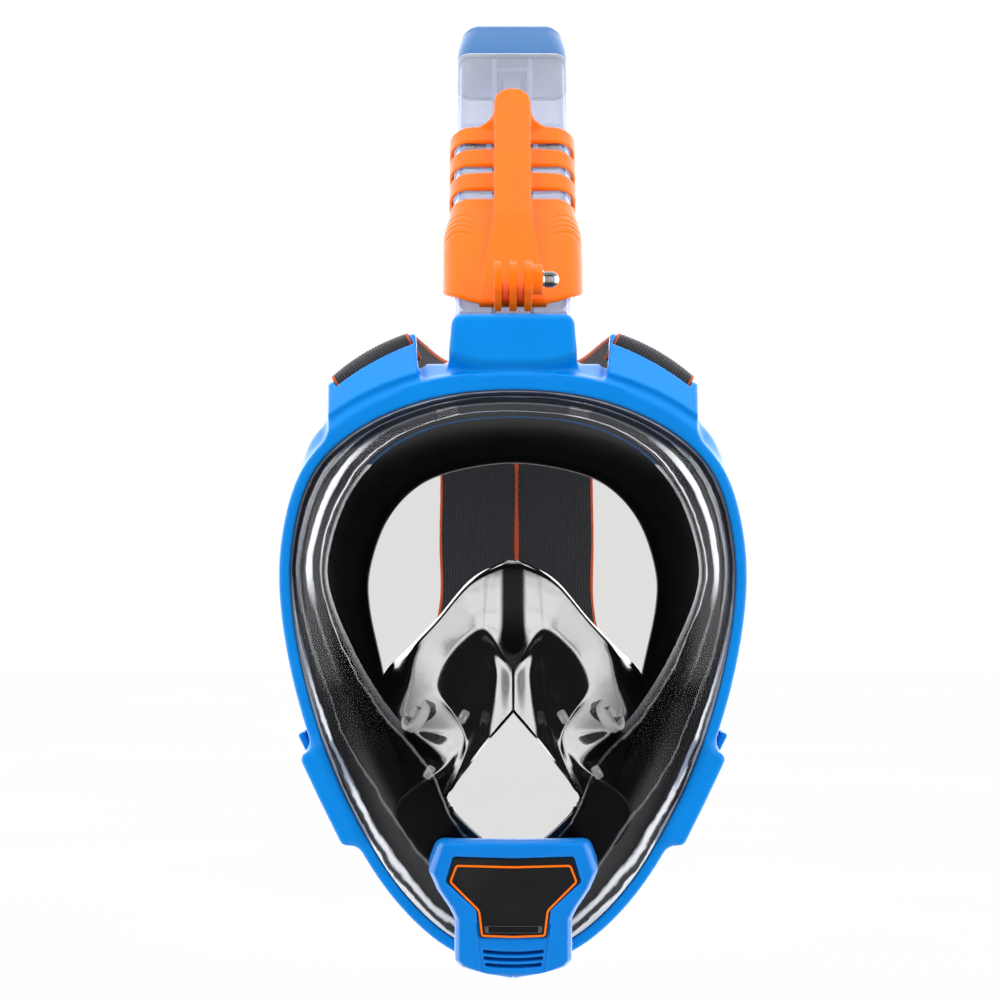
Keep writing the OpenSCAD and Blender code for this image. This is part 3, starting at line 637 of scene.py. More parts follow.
def frame_piece():
    step = 0.6
    x, y, z = axes(step, (0, 96.5), (-51, -5), (-149, 118))
    d = outline_field(x[:, 0], z[0], opening)[:, None, :]
    back = y - sweep(x)
    flare = 5.4 * smooth_step(44, 72, z) * smooth_step(58, 70, x)
    flare = flare * smooth_step(RIM_Y + 1, RIM_Y + 12, back)
    brow = 3 * smooth_step(75, 67, x) * smooth_step(56, 66, z)
    ring = d - RIM_W - brow - flare
    f = both(ring, RIM_Y + crown(d) - back, 1.8)
    f = both(f, back - RIM_Y - FRAME_DEPTH, 0.8)

    # The strap arms, the webs beside the snorkel's block, and the block.
    high = z[0, 0] > 50
    zu, du = z[..., high], d[..., high]
    arm = plan(x, zu, [(37.2, 78), (37.9, 92), (39.4, 107.4), (41.6, 107.0), (43.4, 104.9), (73.0, 87.5),
                       (74.6, 87.4), (73.9, 60), (60, 60), (50, 68)], 1.3)
    arm = joined(arm, ring[..., high], 3.2)
    arm_front = RIM_Y + crown(du) + np.maximum(du - 11.6, 0) * 0.98
    arm = both(arm, (arm_front - back) * 0.75, 1.1)
    arm = both(arm, y - ARM_BACK_Y, 1)
    web = plan(x, zu, [(15, 78), (15, 94.8), (34, 94.9), (45, 96), (45, 78)], 1)
    web_front = RIM_Y + 0.8 + np.maximum(du - 7, 0) * 2.1 + 4 * smooth_step(7, 4.5, du)
    web = both(web, (web_front - back) * 0.45, 0.9)
    web = both(web, y - ARM_BACK_Y, 1)
    block = plan(x, zu, [(-40, 80), (-40, 114.3), (24.4, 114.3), (25.6, 97), (25.6, 80)], 4.6)
    fold = zu - 4.5 * (x / 25) ** 4
    block_front = RIM_Y - 1 + 7 * smooth_step(96.4, 86, fold)
    block = both(block, block_front - back, 2.6)
    _, v, w = to_snorkel(x, y, zu)
    block = both(block, y + 8, 1.5)
    block = both(block, w + 1.8, 1.0)
    upper = joined(joined(np.minimum(f[..., high], arm), web, 1.4), block, 2.4)
    # The straps' slots through the arms, and the snorkel's socket.
    slot_x, slot_z = to_side(x, zu, ARM_AT, ARM_TILT)
    half = STRAP_W / 2 + 0.3
    for y0, z0, y1, z1 in [(-31, -13, -27, 9), (-31, -13, 9, -8), (-21, -9, 9, 9)]:
        upper = cut(upper, box_field(slot_x, y, slot_z, (-half, y0, z0), (half, y1, z1), 0.4), 0.5)
    socket = rect_field(x, v, SPIGOT_W + 1.6, SPIGOT_D + 1.6, 5.8)
    upper = cut(upper, both(socket, -w - SPIGOT_LEN - 1, 0.3), 0.4)
    f[..., high] = upper

    # The wings, with a slot for each buckle's tongue.
    low = z[0, 0] < -45
    zl = z[..., low]
    wx, wz = to_side(x[:, 0], zl[0], WING_AT, WING_TILT)
    wing = rounded_outline(wx, wz, [(-15, -WING_HALF), (-15, WING_HALF), (0.2, WING_HALF), (0.4, 0),
                                    (0.2, -WING_HALF)], 3.2)
    wing_front = -41.6 + 4.2 * smooth_step(-7, -14, wx)
    wing = both(wing[:, None, :], wing_front[:, None, :] - y, 2.4)
    wing = both(wing, slab(y, -60, WING_BACK_Y), 1)
    lower = joined(f[..., low], wing, 5)
    slot = box_field(wx[:, None, :], y, wz[:, None, :],
                     (TONGUE_X - 0.2, WING_BACK_Y - 22, -TONGUE_HALF - 0.3),
                     (TONGUE_X + TONGUE_T + 0.2, 0, TONGUE_HALF + 0.3), 0.3)
    f[..., low] = cut(lower, slot, 0.4)

    # The opening, and behind it the recess for the lens's flange and the skirt's bead.
    f = both(f, -d, 0.7)
    f = cut(f, np.maximum(d - RIM_INSET, RIM_Y + 4 - back), 0.1)
    points, quads = mesh_symmetric(f, y, z, step)
    piece("frame_shell", points, quads, "mask", blue, ["frame"], "blue_plastic")


# ---- Lens ----
# What the lens's wall attribute says off its outer wall, where it runs from 0 at the face to 1 at the rim.
ON_FACE, INSIDE = -0.1, -0.9


def lens_piece():
    wall = offset_loop(opening, -0.4)
    inner = offset_loop(opening, -0.4 - LENS_T * 1.15)
    flange = offset_loop(opening, RIM_INSET - 0.3)
    rings = [lens_plane(offset_loop(face, -LENS_T - 3), LENS_T),
             lens_plane(offset_loop(face, -LENS_T), LENS_T + 0.3),
             swept(inner, FLANGE_Y + FLANGE_T), swept(flange, FLANGE_Y + FLANGE_T),
             swept(flange, FLANGE_Y), swept(wall, FLANGE_Y)]
    shares = [ON_FACE, ON_FACE, INSIDE, INSIDE, 1, 1]
    rim, edge = swept(wall, RIM_Y), lens_plane(face)
    ridges = [(0.93, 0.35), (0.80, 0.3), (0.66, 0.25)]
    for t in np.linspace(1, 0.02, 60):
        bulge = 1.3 * math.sin(math.pi * t) + sum(h * math.exp(-((t - at) / 0.018) ** 2) for at, h in ridges)
        row = lerp(edge, rim, t)
        row[:, 1] -= bulge * 0.9
        out = offset_loop(row[:, [0, 2]], bulge * 0.4)
        row[:, 0], row[:, 2] = out[:, 0], out[:, 1]
        rings.append(row)
        shares.append(t)
    for out, back in [(-0.5, 0.28), (-1.1, 0.08), (-2, 0)]:
        rings.append(lens_plane(offset_loop(face, out), back))
        shares.append(ON_FACE)
    o = lofted("lens_clear_shell", rings, False, "mask", lens_clear, ["lens"], "clear_plastic", 40)
    along = np.roll(opening, -1, 0) - np.roll(opening, 1, 0)
    across = np.abs(along[:, 1]) / np.linalg.norm(along, axis=1)
    high = smooth_step(-10, 15, opening[:, 1])
    store(o, "wall", np.repeat(shares, len(opening)))
    store(o, "side", np.tile(smooth_step(0.45, 0.8, across) * high, len(rings)))
    store(o, "low", np.tile(1 - smooth_step(-55, 5, opening[:, 1]), len(rings)))


# ---- Skirt ----
# Its section behind and in front, as [share of the way from the frame to the lip, y].
SKIRT_BACK = [(0.12, -21.5), (0.45, -9), (0.72, -2), (0.88, 0), (0.97, -1.4), (1, -4.0)]
SKIRT_FRONT = [(0.965, -5.6), (0.87, -3.2), (0.7, -5), (0.4, -13), (0.1, -26)]


def skirt_piece():
    bead_back = BEAD_Y + BEAD_T
    bead = [(-3, BEAD_Y), (RIM_INSET - 0.3, BEAD_Y), (RIM_INSET - 0.3, bead_back), (-1.5, bead_back)]
    rings = [swept(offset_loop(opening, out), y) for out, y in bead]
    base = offset_loop(opening, -1.5)
    rings += [swept(lerp(base, lip, share), y) for share, y in smooth_path(SKIRT_BACK + SKIRT_FRONT, 7)]
    lofted("face_skirt_soft", rings, True, "mask", silicone, ["face_skirt"], "silicone", 50)


# ---- Breathing pocket ----
# Half outlines [x, z, y]: against the face, where the flanks meet the front, the ridge and the mouth opening.
# LIMB, [x, z], is the outside of the two shining limbs.
POCKET_FACE = [(0, 15.5, -24), (5.2, 14.8, -23.9), (17.5, 7.5, -20), (30.6, -8, -13), (41.5, -19.5, -9),
               (53, -31.5, -6.4), (54, -45, -6), (50.5, -57, -7), (42, -77, -8.5), (31, -94, -10),
               (15, -109, -11.5), (0, -113, -12)]
LIMB = [(0, 15.5), (5.2, 14.8), (17.5, 7.5), (30.6, -7.4), (40, -20), (43.8, -33), (50, -45.5), (46, -56),
        (37.5, -76), (27, -93), (13, -106), (0, -109.5)]
SHOULDER = [(0, -20, -61.6), (3.8, -18.5, -61.4), (12.6, -12, -60.5), (22, -18.6, -58), (28.6, -29.5, -57),
            (28.6, -38, -56.5), (18.6, -51.5, -57), (26.5, -64, -57.6), (46, -79, -56.6), (44.5, -93, -54),
            (24, -112, -49), (0, -118, -48)]
RIDGE = [(0, -27, -68.5), (1.2, -27.6, -68), (5.8, -28.2, -62), (10.4, -35, -61.2), (13.4, -43.5, -60.7),
         (16.5, -51, -60.2), (19.5, -60, -60), (25.5, -68.5, -59), (35.5, -79.5, -57.8), (33, -90, -56),
         (17, -105, -51), (0, -111, -50)]
MOUTH = [(0, -41.4, -70), (1.2, -43, -69.4), (5.4, -48, -65.8), (10.4, -54.4, -62.8), (15.3, -60.8, -62.5),
         (20, -67, -61.5), (25, -73.6, -60.5), (28.3, -78.4, -59), (22.6, -84.6, -58), (14.3, -92.6, -56),
         (7, -99, -54), (0, -103, -53)]
FLANK_FALL = 0.86
STRIP_HALF = 4.5
CUP_END, CUP_TILT = (26, -64), 32
POCKET_T = 2


def pocket_piece():
    loops = [smooth_loop(half, 12) for half in (POCKET_FACE, SHOULDER, RIDGE, MOUTH)]
    edge, shoulder = loops[:2]
    limb = smooth_loop(LIMB)
    rows = [edge]
    for t in np.linspace(0.04, 0.96, 18):
        row = lerp(edge, shoulder, t)
        aside = np.abs(row[:, 0])
        away = outline_field(np.maximum(aside, STRIP_HALF), row[:, 1], shoulder[:, :2])
        cup_c, cup_s = turn(CUP_TILT)
        over_cup = (row[:, 1] - CUP_END[1]) * cup_c - (aside - CUP_END[0]) * cup_s
        beyond = np.maximum(outline_field(row[:, 0], row[:, 1], limb), 0)
        flank = np.minimum(shoulder[:, 2] + FLANK_FALL * away + 5 * beyond, edge[:, 2])
        row[:, 2] = lerp(row[:, 2], flank, smooth_step(-2.5, 1.5, over_cup))
        rows.append(row)
    for a, b, count in zip(loops[1:], loops[2:], (10, 9)):
        rows += [lerp(a, b, t) for t in np.arange(count) / count]
    rows.append(loops[-1])
    rows = np.array(rows)[:, :, [0, 2, 1]]
    for _ in range(3):
        rows[2:-1] = 0.5 * rows[2:-1] + 0.25 * (rows[1:-2] + rows[3:])
    rows = 0.5 * rows + 0.25 * (np.roll(rows, 1, 1) + np.roll(rows, -1, 1))
    normal = np.cross(np.gradient(rows, axis=0), np.roll(rows, -1, 1) - np.roll(rows, 1, 1))
    normal /= np.linalg.norm(normal, axis=2)[..., None] + 1e-9
    if normal[..., 1].mean() < 0:
        normal = -normal
    inner = rows + normal * POCKET_T
    points, faces = skin(list(rows) + list(inner[::-1]), True)
    o = piece("nose_pocket_soft", points, faces, "mask", pocket_gloss, ["nose_pocket"], "silicone", 70)
    aside, z = np.abs(points[:, 0]), points[:, 2]
    strip = np.interp(z, [-30, -24, -17, -10, 16], [-1, 3, 6.2, 4.6, 4.6])
    polish = smooth_step(strip - 0.9, strip + 0.9, aside) * smooth_step(-72, -64, z)
    polish *= smooth_step(1.8, 0.4, outline_field(points[:, 0], z, limb))
    polish[rows[..., 0].size:] = 0
    store(o, "polish", polish)


# ---- Chin ----
CHIN_HALF = [(28.4, -91), (33, -105), (29.8, -112.4), (24.9, -119.8), (22.9, -124), (22.9, -140.8),
             (20.5, -143.6), (11.4, -147.4), (0, -150.2)]
WINDOW_HALF = [(0, -98.9), (23.4, -98.2), (26.3, -108.3), (14.4, -119.6), (13.2, -131.2)]
TRIM_HALF = [(0, -102), (22.3, -101.4), (24.9, -108.4), (13.7, -120), (12.5, -130.3), (0, -130.8)]
# How far from a corner of the window its rounding starts.
CORNER = 1.2
# Each louvre's height and half its length.
LOUVRES = [(-137.5, 11.9), (-140.1, 11.6), (-142.7, 11)]


def two_sided(half):
    return half + [(-x, z) for x, z in half[::-1] if x]


def lens_outside(x, z):
    """Y of the lens's outside, between its face and its rim."""
    to_face, to_opening = outline_field(x, z, face), outline_field(x, z, opening)
    t = np.clip(to_face / np.maximum(to_face - to_opening, 1e-6), 0, 1)
    t = np.where(to_opening >= 0, 1, np.where(to_face <= 0, 0, t))
    return lerp(LENS_FRONT_Y - LENS_TILT * z, RIM_Y + sweep(x), t)


def chin_piece():
    step = 0.5
    x, y, z = axes(step, (0, 35), (-88, -38), (-152, -89))
    outline = plan(x, z, two_sided(CHIN_HALF), 1.6)
    bottom = 0.85 * np.maximum(-144.2 - z, 0)
    front = CHIN_FRONT_Y + bottom + 0.8 * smooth_step(24, 33, x) * smooth_step(-120, -108, z)
    f = both(outline, front - y, 0.9)
    f = both(f, (outline + 2.1) * 0.87 - (y - front) * 0.5, 0.7)
    fall_c, fall_s = turn(14)
    f = both(f, (z + 91) * fall_c + (y - CHIN_FRONT_Y) * fall_s, 2.6)
    window = plan(x, z, two_sided(WINDOW_HALF), 1.2)
    f = cut(f, both(window, y - CHIN_FRONT_Y - 1.7, 0.1), 0.8)
    panel = plan(x, z, two_sided([(14.6, -125), (12.4, -146.6)]), 0.6)
    f = cut(f, both(panel, y - CHIN_FRONT_Y - 1.1, 0.1), 0.5)
    bowed = z - 0.006 * x ** 2
    for louvre, reach in LOUVRES:
        slot = both(slab(x, -reach, reach), slab(bowed, louvre - 0.75, louvre + 0.75), 0.2)
        f = cut(f, both(slot, y - CHIN_FRONT_Y - 6, 0.1), 0.45)
    f = cut(f, both(slab(x, -0.35, 0.35), z + 147.2, 0.1), 0.2)
    c, s = turn(CHIN_TILT)
    dy, dz = y - CHIN_FRONT_Y, z - CHIN_TOP
    world_y, world_z = CHIN_FRONT_Y + dy * c - dz * s, CHIN_TOP + dy * s + dz * c
    # The lens's outside, from a table with a value for each millimetre.
    lens_x, lens_z = np.arange(0, 36, 1.0), np.arange(-165, -80, 1.0)
    table = lens_outside(lens_x[:, None], lens_z[None, :])
    i, k = np.broadcast_arrays(x, np.clip(world_z - lens_z[0], 0, len(lens_z) - 2.001))
    i0, k0 = i.astype(int), k.astype(int)
    fx, fz = i - i0, k - k0
    surface = (table[i0, k0] * (1 - fx) * (1 - fz) + table[i0 + 1, k0] * fx * (1 - fz)
               + table[i0, k0 + 1] * (1 - fx) * fz + table[i0 + 1, k0 + 1] * fx * fz)
    f = both(f, (world_y - surface + 0.7) * 0.8, 0.2)
    f = both(f, world_y - RIM_Y + 0.8, 0.2)
    points, quads = mesh_symmetric(f, y, z, step)
    piece("chin_housing_shell", from_chin(points), quads, "mask", chin_blue_shaded, ["chin_housing"], "blue_plastic")


def chin_rings(rows):
    """Rings in the chin's frame, each a loop and how far it lies behind the front."""
    return [from_chin(np.column_stack([loop[:, 0], np.full(len(loop), CHIN_FRONT_Y + back), loop[:, 1]]))
            for loop, back in rows]


def panel_loop(half, grow):
    """A half outline and its mirror image with short rounded corners, moved outwards."""
    corners = np.array(two_sided(half), float)
    starts = corners + unit(np.roll(corners, 1, 0) - corners) * CORNER
    ends = corners + unit(np.roll(corners, -1, 0) - corners) * CORNER
    loop = [lerp(lerp(a, p, t), lerp(p, b, t), t) for a, p, b in zip(starts, corners, ends)
            for t in np.linspace(0, 1, 6)]
    return offset_loop(np.array(loop), grow)


def chin_details():
    plate = panel_loop(WINDOW_HALF, -0.35)
    o = lofted("chin_plate_face", chin_rings([(plate, 0.6), (plate, 1.6)]), False, "mask", black_plastic,
               ["chin_plate"], "black_plastic", 30)
    add_bevel(o, 0.3)
    trim, hole = panel_loop(TRIM_HALF, 0), panel_loop(TRIM_HALF, -0.8)
    rings = chin_rings([(trim, 0.25), (trim, 0.75), (hole, 0.75), (hole, 0.25)])
    o = lofted("chin_trim_line", rings, True, "mask", orange, ["chin_trim"], "orange_plastic", 30)
    add_bevel(o, 0.12)
    slot = rounded_rect(22.6, 2.8, 0.7)
    rings = chin_rings([(slot * k + (0, -127.4), back)
                        for k, back in [(1.0, 0.62), (0.98, 0.1), (0.9, 0.1), (0.86, 0.58)]])
    lofted("chin_plate_slot", rings, True, "mask", slot_grey_painted_sheen, (), "black_plastic", 40)


# ---- Snorkel ----
# Rounded_rect makes ten points a corner.
RING_POINTS = 40
CAP_SIDE_H = 17.2


def tube_rings(rows):
    """Rings of rounded rectangles along the tube, each a width, depth, radius and height."""
    return [from_snorkel(np.column_stack([rounded_rect(w, d, r), np.full(RING_POINTS, h)]))
            for w, d, r, h in rows]


def tube_piece():
    w, d, t = TUBE_W, TUBE_D, TUBE_T
    outer = [(w - 1, d - 1, TUBE_R - 0.5, 0), (w, d, TUBE_R, 0.6), (w, d, TUBE_R, TUBE_LEN - 0.5),
             (w - 0.8, d - 0.8, TUBE_R - 0.4, TUBE_LEN)]
    inner = [(w - 2 * t, d - 2 * t, TUBE_R - t, TUBE_LEN), (w - 2 * t, d - 2 * t, TUBE_R - t, 2)]
    sw, sd = SPIGOT_W, SPIGOT_D
    spigot = [(sw - 2 * t, sd - 2 * t, 3.2, 2), (sw - 2 * t, sd - 2 * t, 3.2, -SPIGOT_LEN),
              (sw, sd, 5, -SPIGOT_LEN), (sw, sd, 5, 0)]
    lofted("snorkel_tube_shell", tube_rings(outer + inner + spigot), True, "snorkel", tube_clear,
           ["snorkel_tube"], "clear_plastic", 35)


def cap_piece():
    w, d, base = TUBE_W - 0.6, TUBE_D - 0.6, TUBE_LEN + 0.3
    rows = [(w - 12, d - 9, 3, base + 14), (w - 4, d - 4, 4, base + 8),
            (w - 3.6, d - 3.6, TUBE_R - 1.8, base)]
    pale_rings = len(rows)
    rows += [(w - 0.6, d - 0.6, TUBE_R, base), (w, d, TUBE_R, base + 0.5)]
    for t in np.linspace(0.05, 1, 16):
        inset = 3.4 * t ** 1.6
        rows.append((w - inset, d - inset, TUBE_R + 2.5 * t, base + CAP_SIDE_H * t))
    for a in np.linspace(12, 90, 9):
        c, s = turn(a)
        rows.append((w - 3.4 - 8 * (1 - c), d - 3.4 - 5.5 * (1 - c), (TUBE_R + 2.5) * (0.4 + 0.6 * c),
                     base + CAP_SIDE_H + (CAP_H + 0.4 - CAP_SIDE_H) * s))
    o = lofted("snorkel_cap_shell", tube_rings(rows), False, "snorkel", cap_blue, ["snorkel_cap"],
               "blue_plastic", 45)
    # The first rings, the underside, take the pale painted light material.
    o.data.materials.append(cap_underside_painted_light)
    for f in o.data.polygons:
        f.material_index = int(max(f.vertices) < pale_rings * RING_POINTS)
    band = [(w + 0.1, d + 0.1, TUBE_R, base - 0.35), (w + 0.1, d + 0.1, TUBE_R, base + 0.15),
            (w - 3, d - 3, TUBE_R - 1.5, base + 0.15), (w - 3, d - 3, TUBE_R - 1.5, base - 0.35)]
    lofted("cap_seal_line", tube_rings(band), True, "snorkel", float_foam, (), "float_foam", 40)


# Half the width of the holder's spine, where its rounded top starts, and the outside of the prongs.
SPINE_HALF, SPINE_END, PRONGS_END = 7.6, 113.4, 2.5 * PRONG_T


def holder_piece():
    step = 0.45
    u, v, w = axes(step, (0, 30), (-39, 9), (-7, 124))
    tube = rect_field(u, v, TUBE_W + 0.5, TUBE_D + 0.5, TUBE_R)
    opening_back = np.maximum(slab(u, -20, 20), 2 - v)
    half_w = 28.4 - 2.6 * smooth_step(42, 63, w)
    front = 18 - 1.6 * smooth_step(42, 63, w)
    low = 1.2 + 4.4 * smooth_step(13, 28, u) + np.minimum(0.94 * np.maximum(v + 17, 0), 18)
    body = rect_field(u, v - (6 - front) / 2, 2 * half_w, front + 6, 8.5)
    f = both(body, np.maximum(low - w, w - 62.5), 2.2)
    finger = rect_field(u, v + 5.1 - 1.5 * (u / 26) ** 2, TUBE_W + 4.4, 22.4, 8.6)
    for z0, z1 in [(67.5, 78), (81.5, 92), (95.5, 105.5)]:
        f = np.minimum(f, both(finger, slab(w, z0, z1), 1.6))
    f = cut(f, tube, 0.5)
    f = cut(f, opening_back, 0.8)
    down = np.maximum(46 - w, 0) / 44
    crest = -23.2 + 5.6 * down
    spine = both(np.abs(u) - SPINE_HALF - 6.2 * down, crest - v, 0.8)
    spine = both(spine, v + TUBE_D / 2 + 0.3, 0.3)
    top = np.where(w > SPINE_END, np.hypot(u, np.maximum(w - SPINE_END, 0)), w - SPINE_END) - SPINE_HALF
    spine = both(spine, np.maximum(top, 1.2 - w), 1.0)
    f = joined(f, spine, 0.9 + 7.9 * smooth_step(101, 106, w))
    f = cut(f, tube, 0.3)
    bolt_v, bolt_w = BOLT
    off_bolt = np.hypot(v - bolt_v, w - bolt_w)
    root = np.maximum(np.abs(w - bolt_w) - PRONG_R, np.maximum(bolt_v - v, v + 18))
    lug = np.minimum(off_bolt - PRONG_R, root)
    for at in (0, 2 * PRONG_T):
        f = joined(f, both(slab(u, at - PRONG_T / 2, at + PRONG_T / 2), lug, 0.5), 0.6)
    f = cut(f, off_bolt - BOLT_R, 0.25)
    # Four fine grooves curve round each side, under the fingers.
    for start in (47.1, 50.9, 40.6, 44.4):
        line = start + 5 * (u - 20) / 9 - 0.048 * (u - 17) ** 2
        f = f + 0.32 * np.exp(-((w - line) / 0.42) ** 2) * smooth_step(15.5, 17.5, u) * (v < 0)
    # One boss, on the wearer's left, takes the nut.
    field = mirrored(f)
    full_u = (np.arange(len(field)) - (len(f) - 1))[:, None, None] * step
    boss = np.maximum(slab(full_u, PRONGS_END - 0.6, PRONGS_END + 4.3), off_bolt - 6.1)
    boss = cut(boss, np.maximum(off_bolt - 4, PRONGS_END + 1 - full_u), 0.2)
    boss = cut(boss, off_bolt - BOLT_R, 0.2)
    points, quads = mesh_field(joined(field, boss, 0.8), (full_u.flat[0], v.flat[0], w.flat[0]), step)
    piece("camera_holder_shell", from_snorkel(points), quads, "holder", orange, ["camera_holder"],
          "orange_plastic")


def nut_piece():
    """A domed nut: a hexagon collar that sits in the boss, and a domed barrel."""
    rows = [(3.8, 0), (3.85, 0.3), (3.85, 3.2), (3.5, 3.7), (3.15, 4.0), (3.1, 4.4), (3.3, 4.8), (3.3, 6.8)]
    rows += [(3.3 * turn(a)[0], 6.8 + 3.0 * turn(a)[1]) for a in range(12, 90, 11)]
    rows += [(0.3, 9.8)]
    a = np.radians(np.arange(0, 360, 7.5))
    rings = [from_snorkel(np.column_stack([np.full(len(a), PRONGS_END + 1.1 + along), BOLT[0] + r * np.cos(a),
                                           BOLT[1] + r * np.sin(a)])) for r, along in rows]
    o = lofted("camera_nut_domed", rings, False, "holder", chrome, ["camera_nut"], "nut_metal", 40)
    # Place round the barrel, from which the chrome material paints its reflection bands.
    height = np.array([r for r, _ in rows])[:, None] / rows[0][0] * np.cos(a - math.radians(LEAN + 90))
    store(o, "around", 0.5 - 0.5 * height * 1.1)


# ---- Harness ----
ARM_UP = np.array([turn(ARM_TILT)[1], 0, turn(ARM_TILT)[0]])
ARM_ALONG = np.array([turn(ARM_TILT)[0], 0, -turn(ARM_TILT)[1]])
OVER_ARM = ARM_AT + 1.6 * ARM_UP
WING_ALONG = np.array([turn(WING_TILT)[1], 0, turn(WING_TILT)[0]])
WING_OUT = np.array([turn(WING_TILT)[0], 0, -turn(WING_TILT)[1]])
STRAP_MID = WING_AT + BAR_SHIFT * WING_ALONG - 8.5 * WING_OUT
BACK_SHIFT = 2.4
RIBS = 27


def ribbon(name, points, acrosses, side, body, samples=10, arch=()):
    """A strip of ribbed webbing with an overlocked edge along each side. Returns it and its length.

    Arch is how far its middle stands above its edges at the first points."""
    middle = smooth_path(points, samples)
    arches = smooth_path([[a] for a in arch] + [[0.0]] * (len(points) - len(arch)), samples)
    across = unit(smooth_path(acrosses, samples))
    out = unit(np.cross(across, np.gradient(middle, axis=0)))
    along = np.concatenate([[0], np.cumsum(np.linalg.norm(np.diff(middle, axis=0), axis=1))])
    s = np.linspace(-1, 1, 4 * RIBS + 1)
    rib = 0.13 * np.cos(s * RIBS * math.pi)
    edge = smooth_step(1, 0.955, np.abs(s))
    thick = STRAP_T / 2 * (0.45 + 0.55 * edge)
    loop_s = np.concatenate([s, s[::-1]])
    loop_t = np.concatenate([thick + rib * edge, -(thick + rib * edge)[::-1]])
    width = (STRAP_W - 0.8) / 2
    rings = (middle[:, None] + across[:, None] * (loop_s * width)[None, :, None]
             + out[:, None] * (loop_t + arches * loop_s ** 2)[..., None])
    o = lofted(name, flipped(rings, side), False, body, webbing, (), "webbing", 60)
    store(o, "across", np.tile(loop_s * width, len(middle)))
    store(o, "along", np.repeat(along, len(loop_s)))
    rims = []
    a = np.radians(np.arange(0, 360, 36))
    wrap = 0.06 * np.sin(along * 2 * math.pi / 1.5)[:, None]
    for end in (-1, 1):
        centre = middle + across * end * (width - 0.1) + out * arches
        rows = (centre[:, None] + across[:, None] * ((0.75 + wrap) * np.cos(a))[..., None]
                + out[:, None] * ((0.92 + wrap) * np.sin(a))[..., None])
        rim = lofted(f"{name}_edge_{'inner' if end < 0 else 'outer'}", flipped(rows, side), False, body,
                     thread, (), "stitching", 60)
        store(rim, "along", np.repeat(along, len(a)))
        rims.append(rim)
    return o, rims, float(along[-1])


def bar_point(out, back):
    """A point by the buckle's bar, at the webbing's middle."""
    return from_side([(out, BUCKLE_BAR_Y + back, BAR_SHIFT)], WING_AT, WING_TILT)[0]


def strap_pieces(side, word):
    shift = np.array([BACK_SHIFT * side, 0, 0])
    half = STRAP_W / 2 + 0.1
    points = [ARM_AT + up * ARM_UP + (0, y, 0)
              for y, up in [(-29.4, -10), (-29.4, -3), (-28.6, 1.2), (-25.5, 3.0), (-19, 2.9)]]
    points += [OVER_ARM + (-1, -6, 0.4), OVER_ARM + (-3, 25, 0.6), (47, 75, 94.5), (35, 120, 90)]
    points += [shift + p for p in [(23, 147, 74), (half, BACK_Y, 57), (half, BACK_Y + 1, 22),
                                   (half, BACK_Y, -8)]]
    points += [shift * 0.5 + (24, 145, -34), (38, 120, -52), (55, 88, -64), STRAP_MID + (-3, 62, 0),
               STRAP_MID + (0, 33, 0), STRAP_MID + (0, 8, 0), bar_point(-8.5, -1.5), bar_point(-7.4, -3.3)]
    acrosses = [-ARM_ALONG] * 7
    acrosses += [(-1, 0, 0.45), (-1, 0, 0.3), (-1, 0, 0.12), (-1, 0, 0), (-1, 0, 0), (-1, 0, 0),
                 (-1, 0, -0.3), (-1, 0, -0.75), (-0.8, 0, -1.1)]
    acrosses += [-WING_ALONG] * 5
    buckle = f"{word}_buckle"
    o, rims, length = ribbon(f"strap_{word}_webbing", points, acrosses, side, None,
                             arch=(1.2, 1.6, 1.8, 1.8, 1.4, 0.6))
    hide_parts(f"strap_{word}")
    for part in (o, *rims):
        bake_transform(part)
    tail = [bar_point(*at) for at in [(-7.0, -3.4), (-5.5, -3.5), (-4.0, -3.3), (-2.6, -1.4), (-2.5, 8),
                                      (-2.9, 24), (-2.3, 43)]]
    o, rims, length = ribbon(f"strap_tail_{word}_webbing", tail, [-WING_ALONG] * len(tail), side, buckle, 8)
    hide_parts(f"strap_tail_{word}")


def stitch_pieces():
    """Zigzag thread across the straps' meeting edges, on the side towards the head."""
    zs = np.arange(-8, 55, 1.6)
    a = np.radians(np.arange(0, 360, 60))
    bulge = 0.9 * np.sin((zs + 8) / 63 * math.pi)
    zigzag = np.where(np.arange(len(zs)) % 2, 0.6, -0.6)
    path = np.column_stack([BACK_SHIFT + zigzag, BACK_Y - 1.0 + bulge, zs])
    side = unit(np.cross(unit(np.gradient(path, axis=0)), (0, 1, 0)))
    rings = path[:, None] + 0.28 * (side[:, None] * np.cos(a)[None, :, None]
                                    + np.array([0, 1, 0]) * np.sin(a)[None, :, None])
    o = lofted("back_seam_thread", rings, False, "mask", thread, ["back_stitching"], "stitching", 60)
    store(o, "along", np.repeat(np.arange(len(zs)) * 2.0, len(a)))


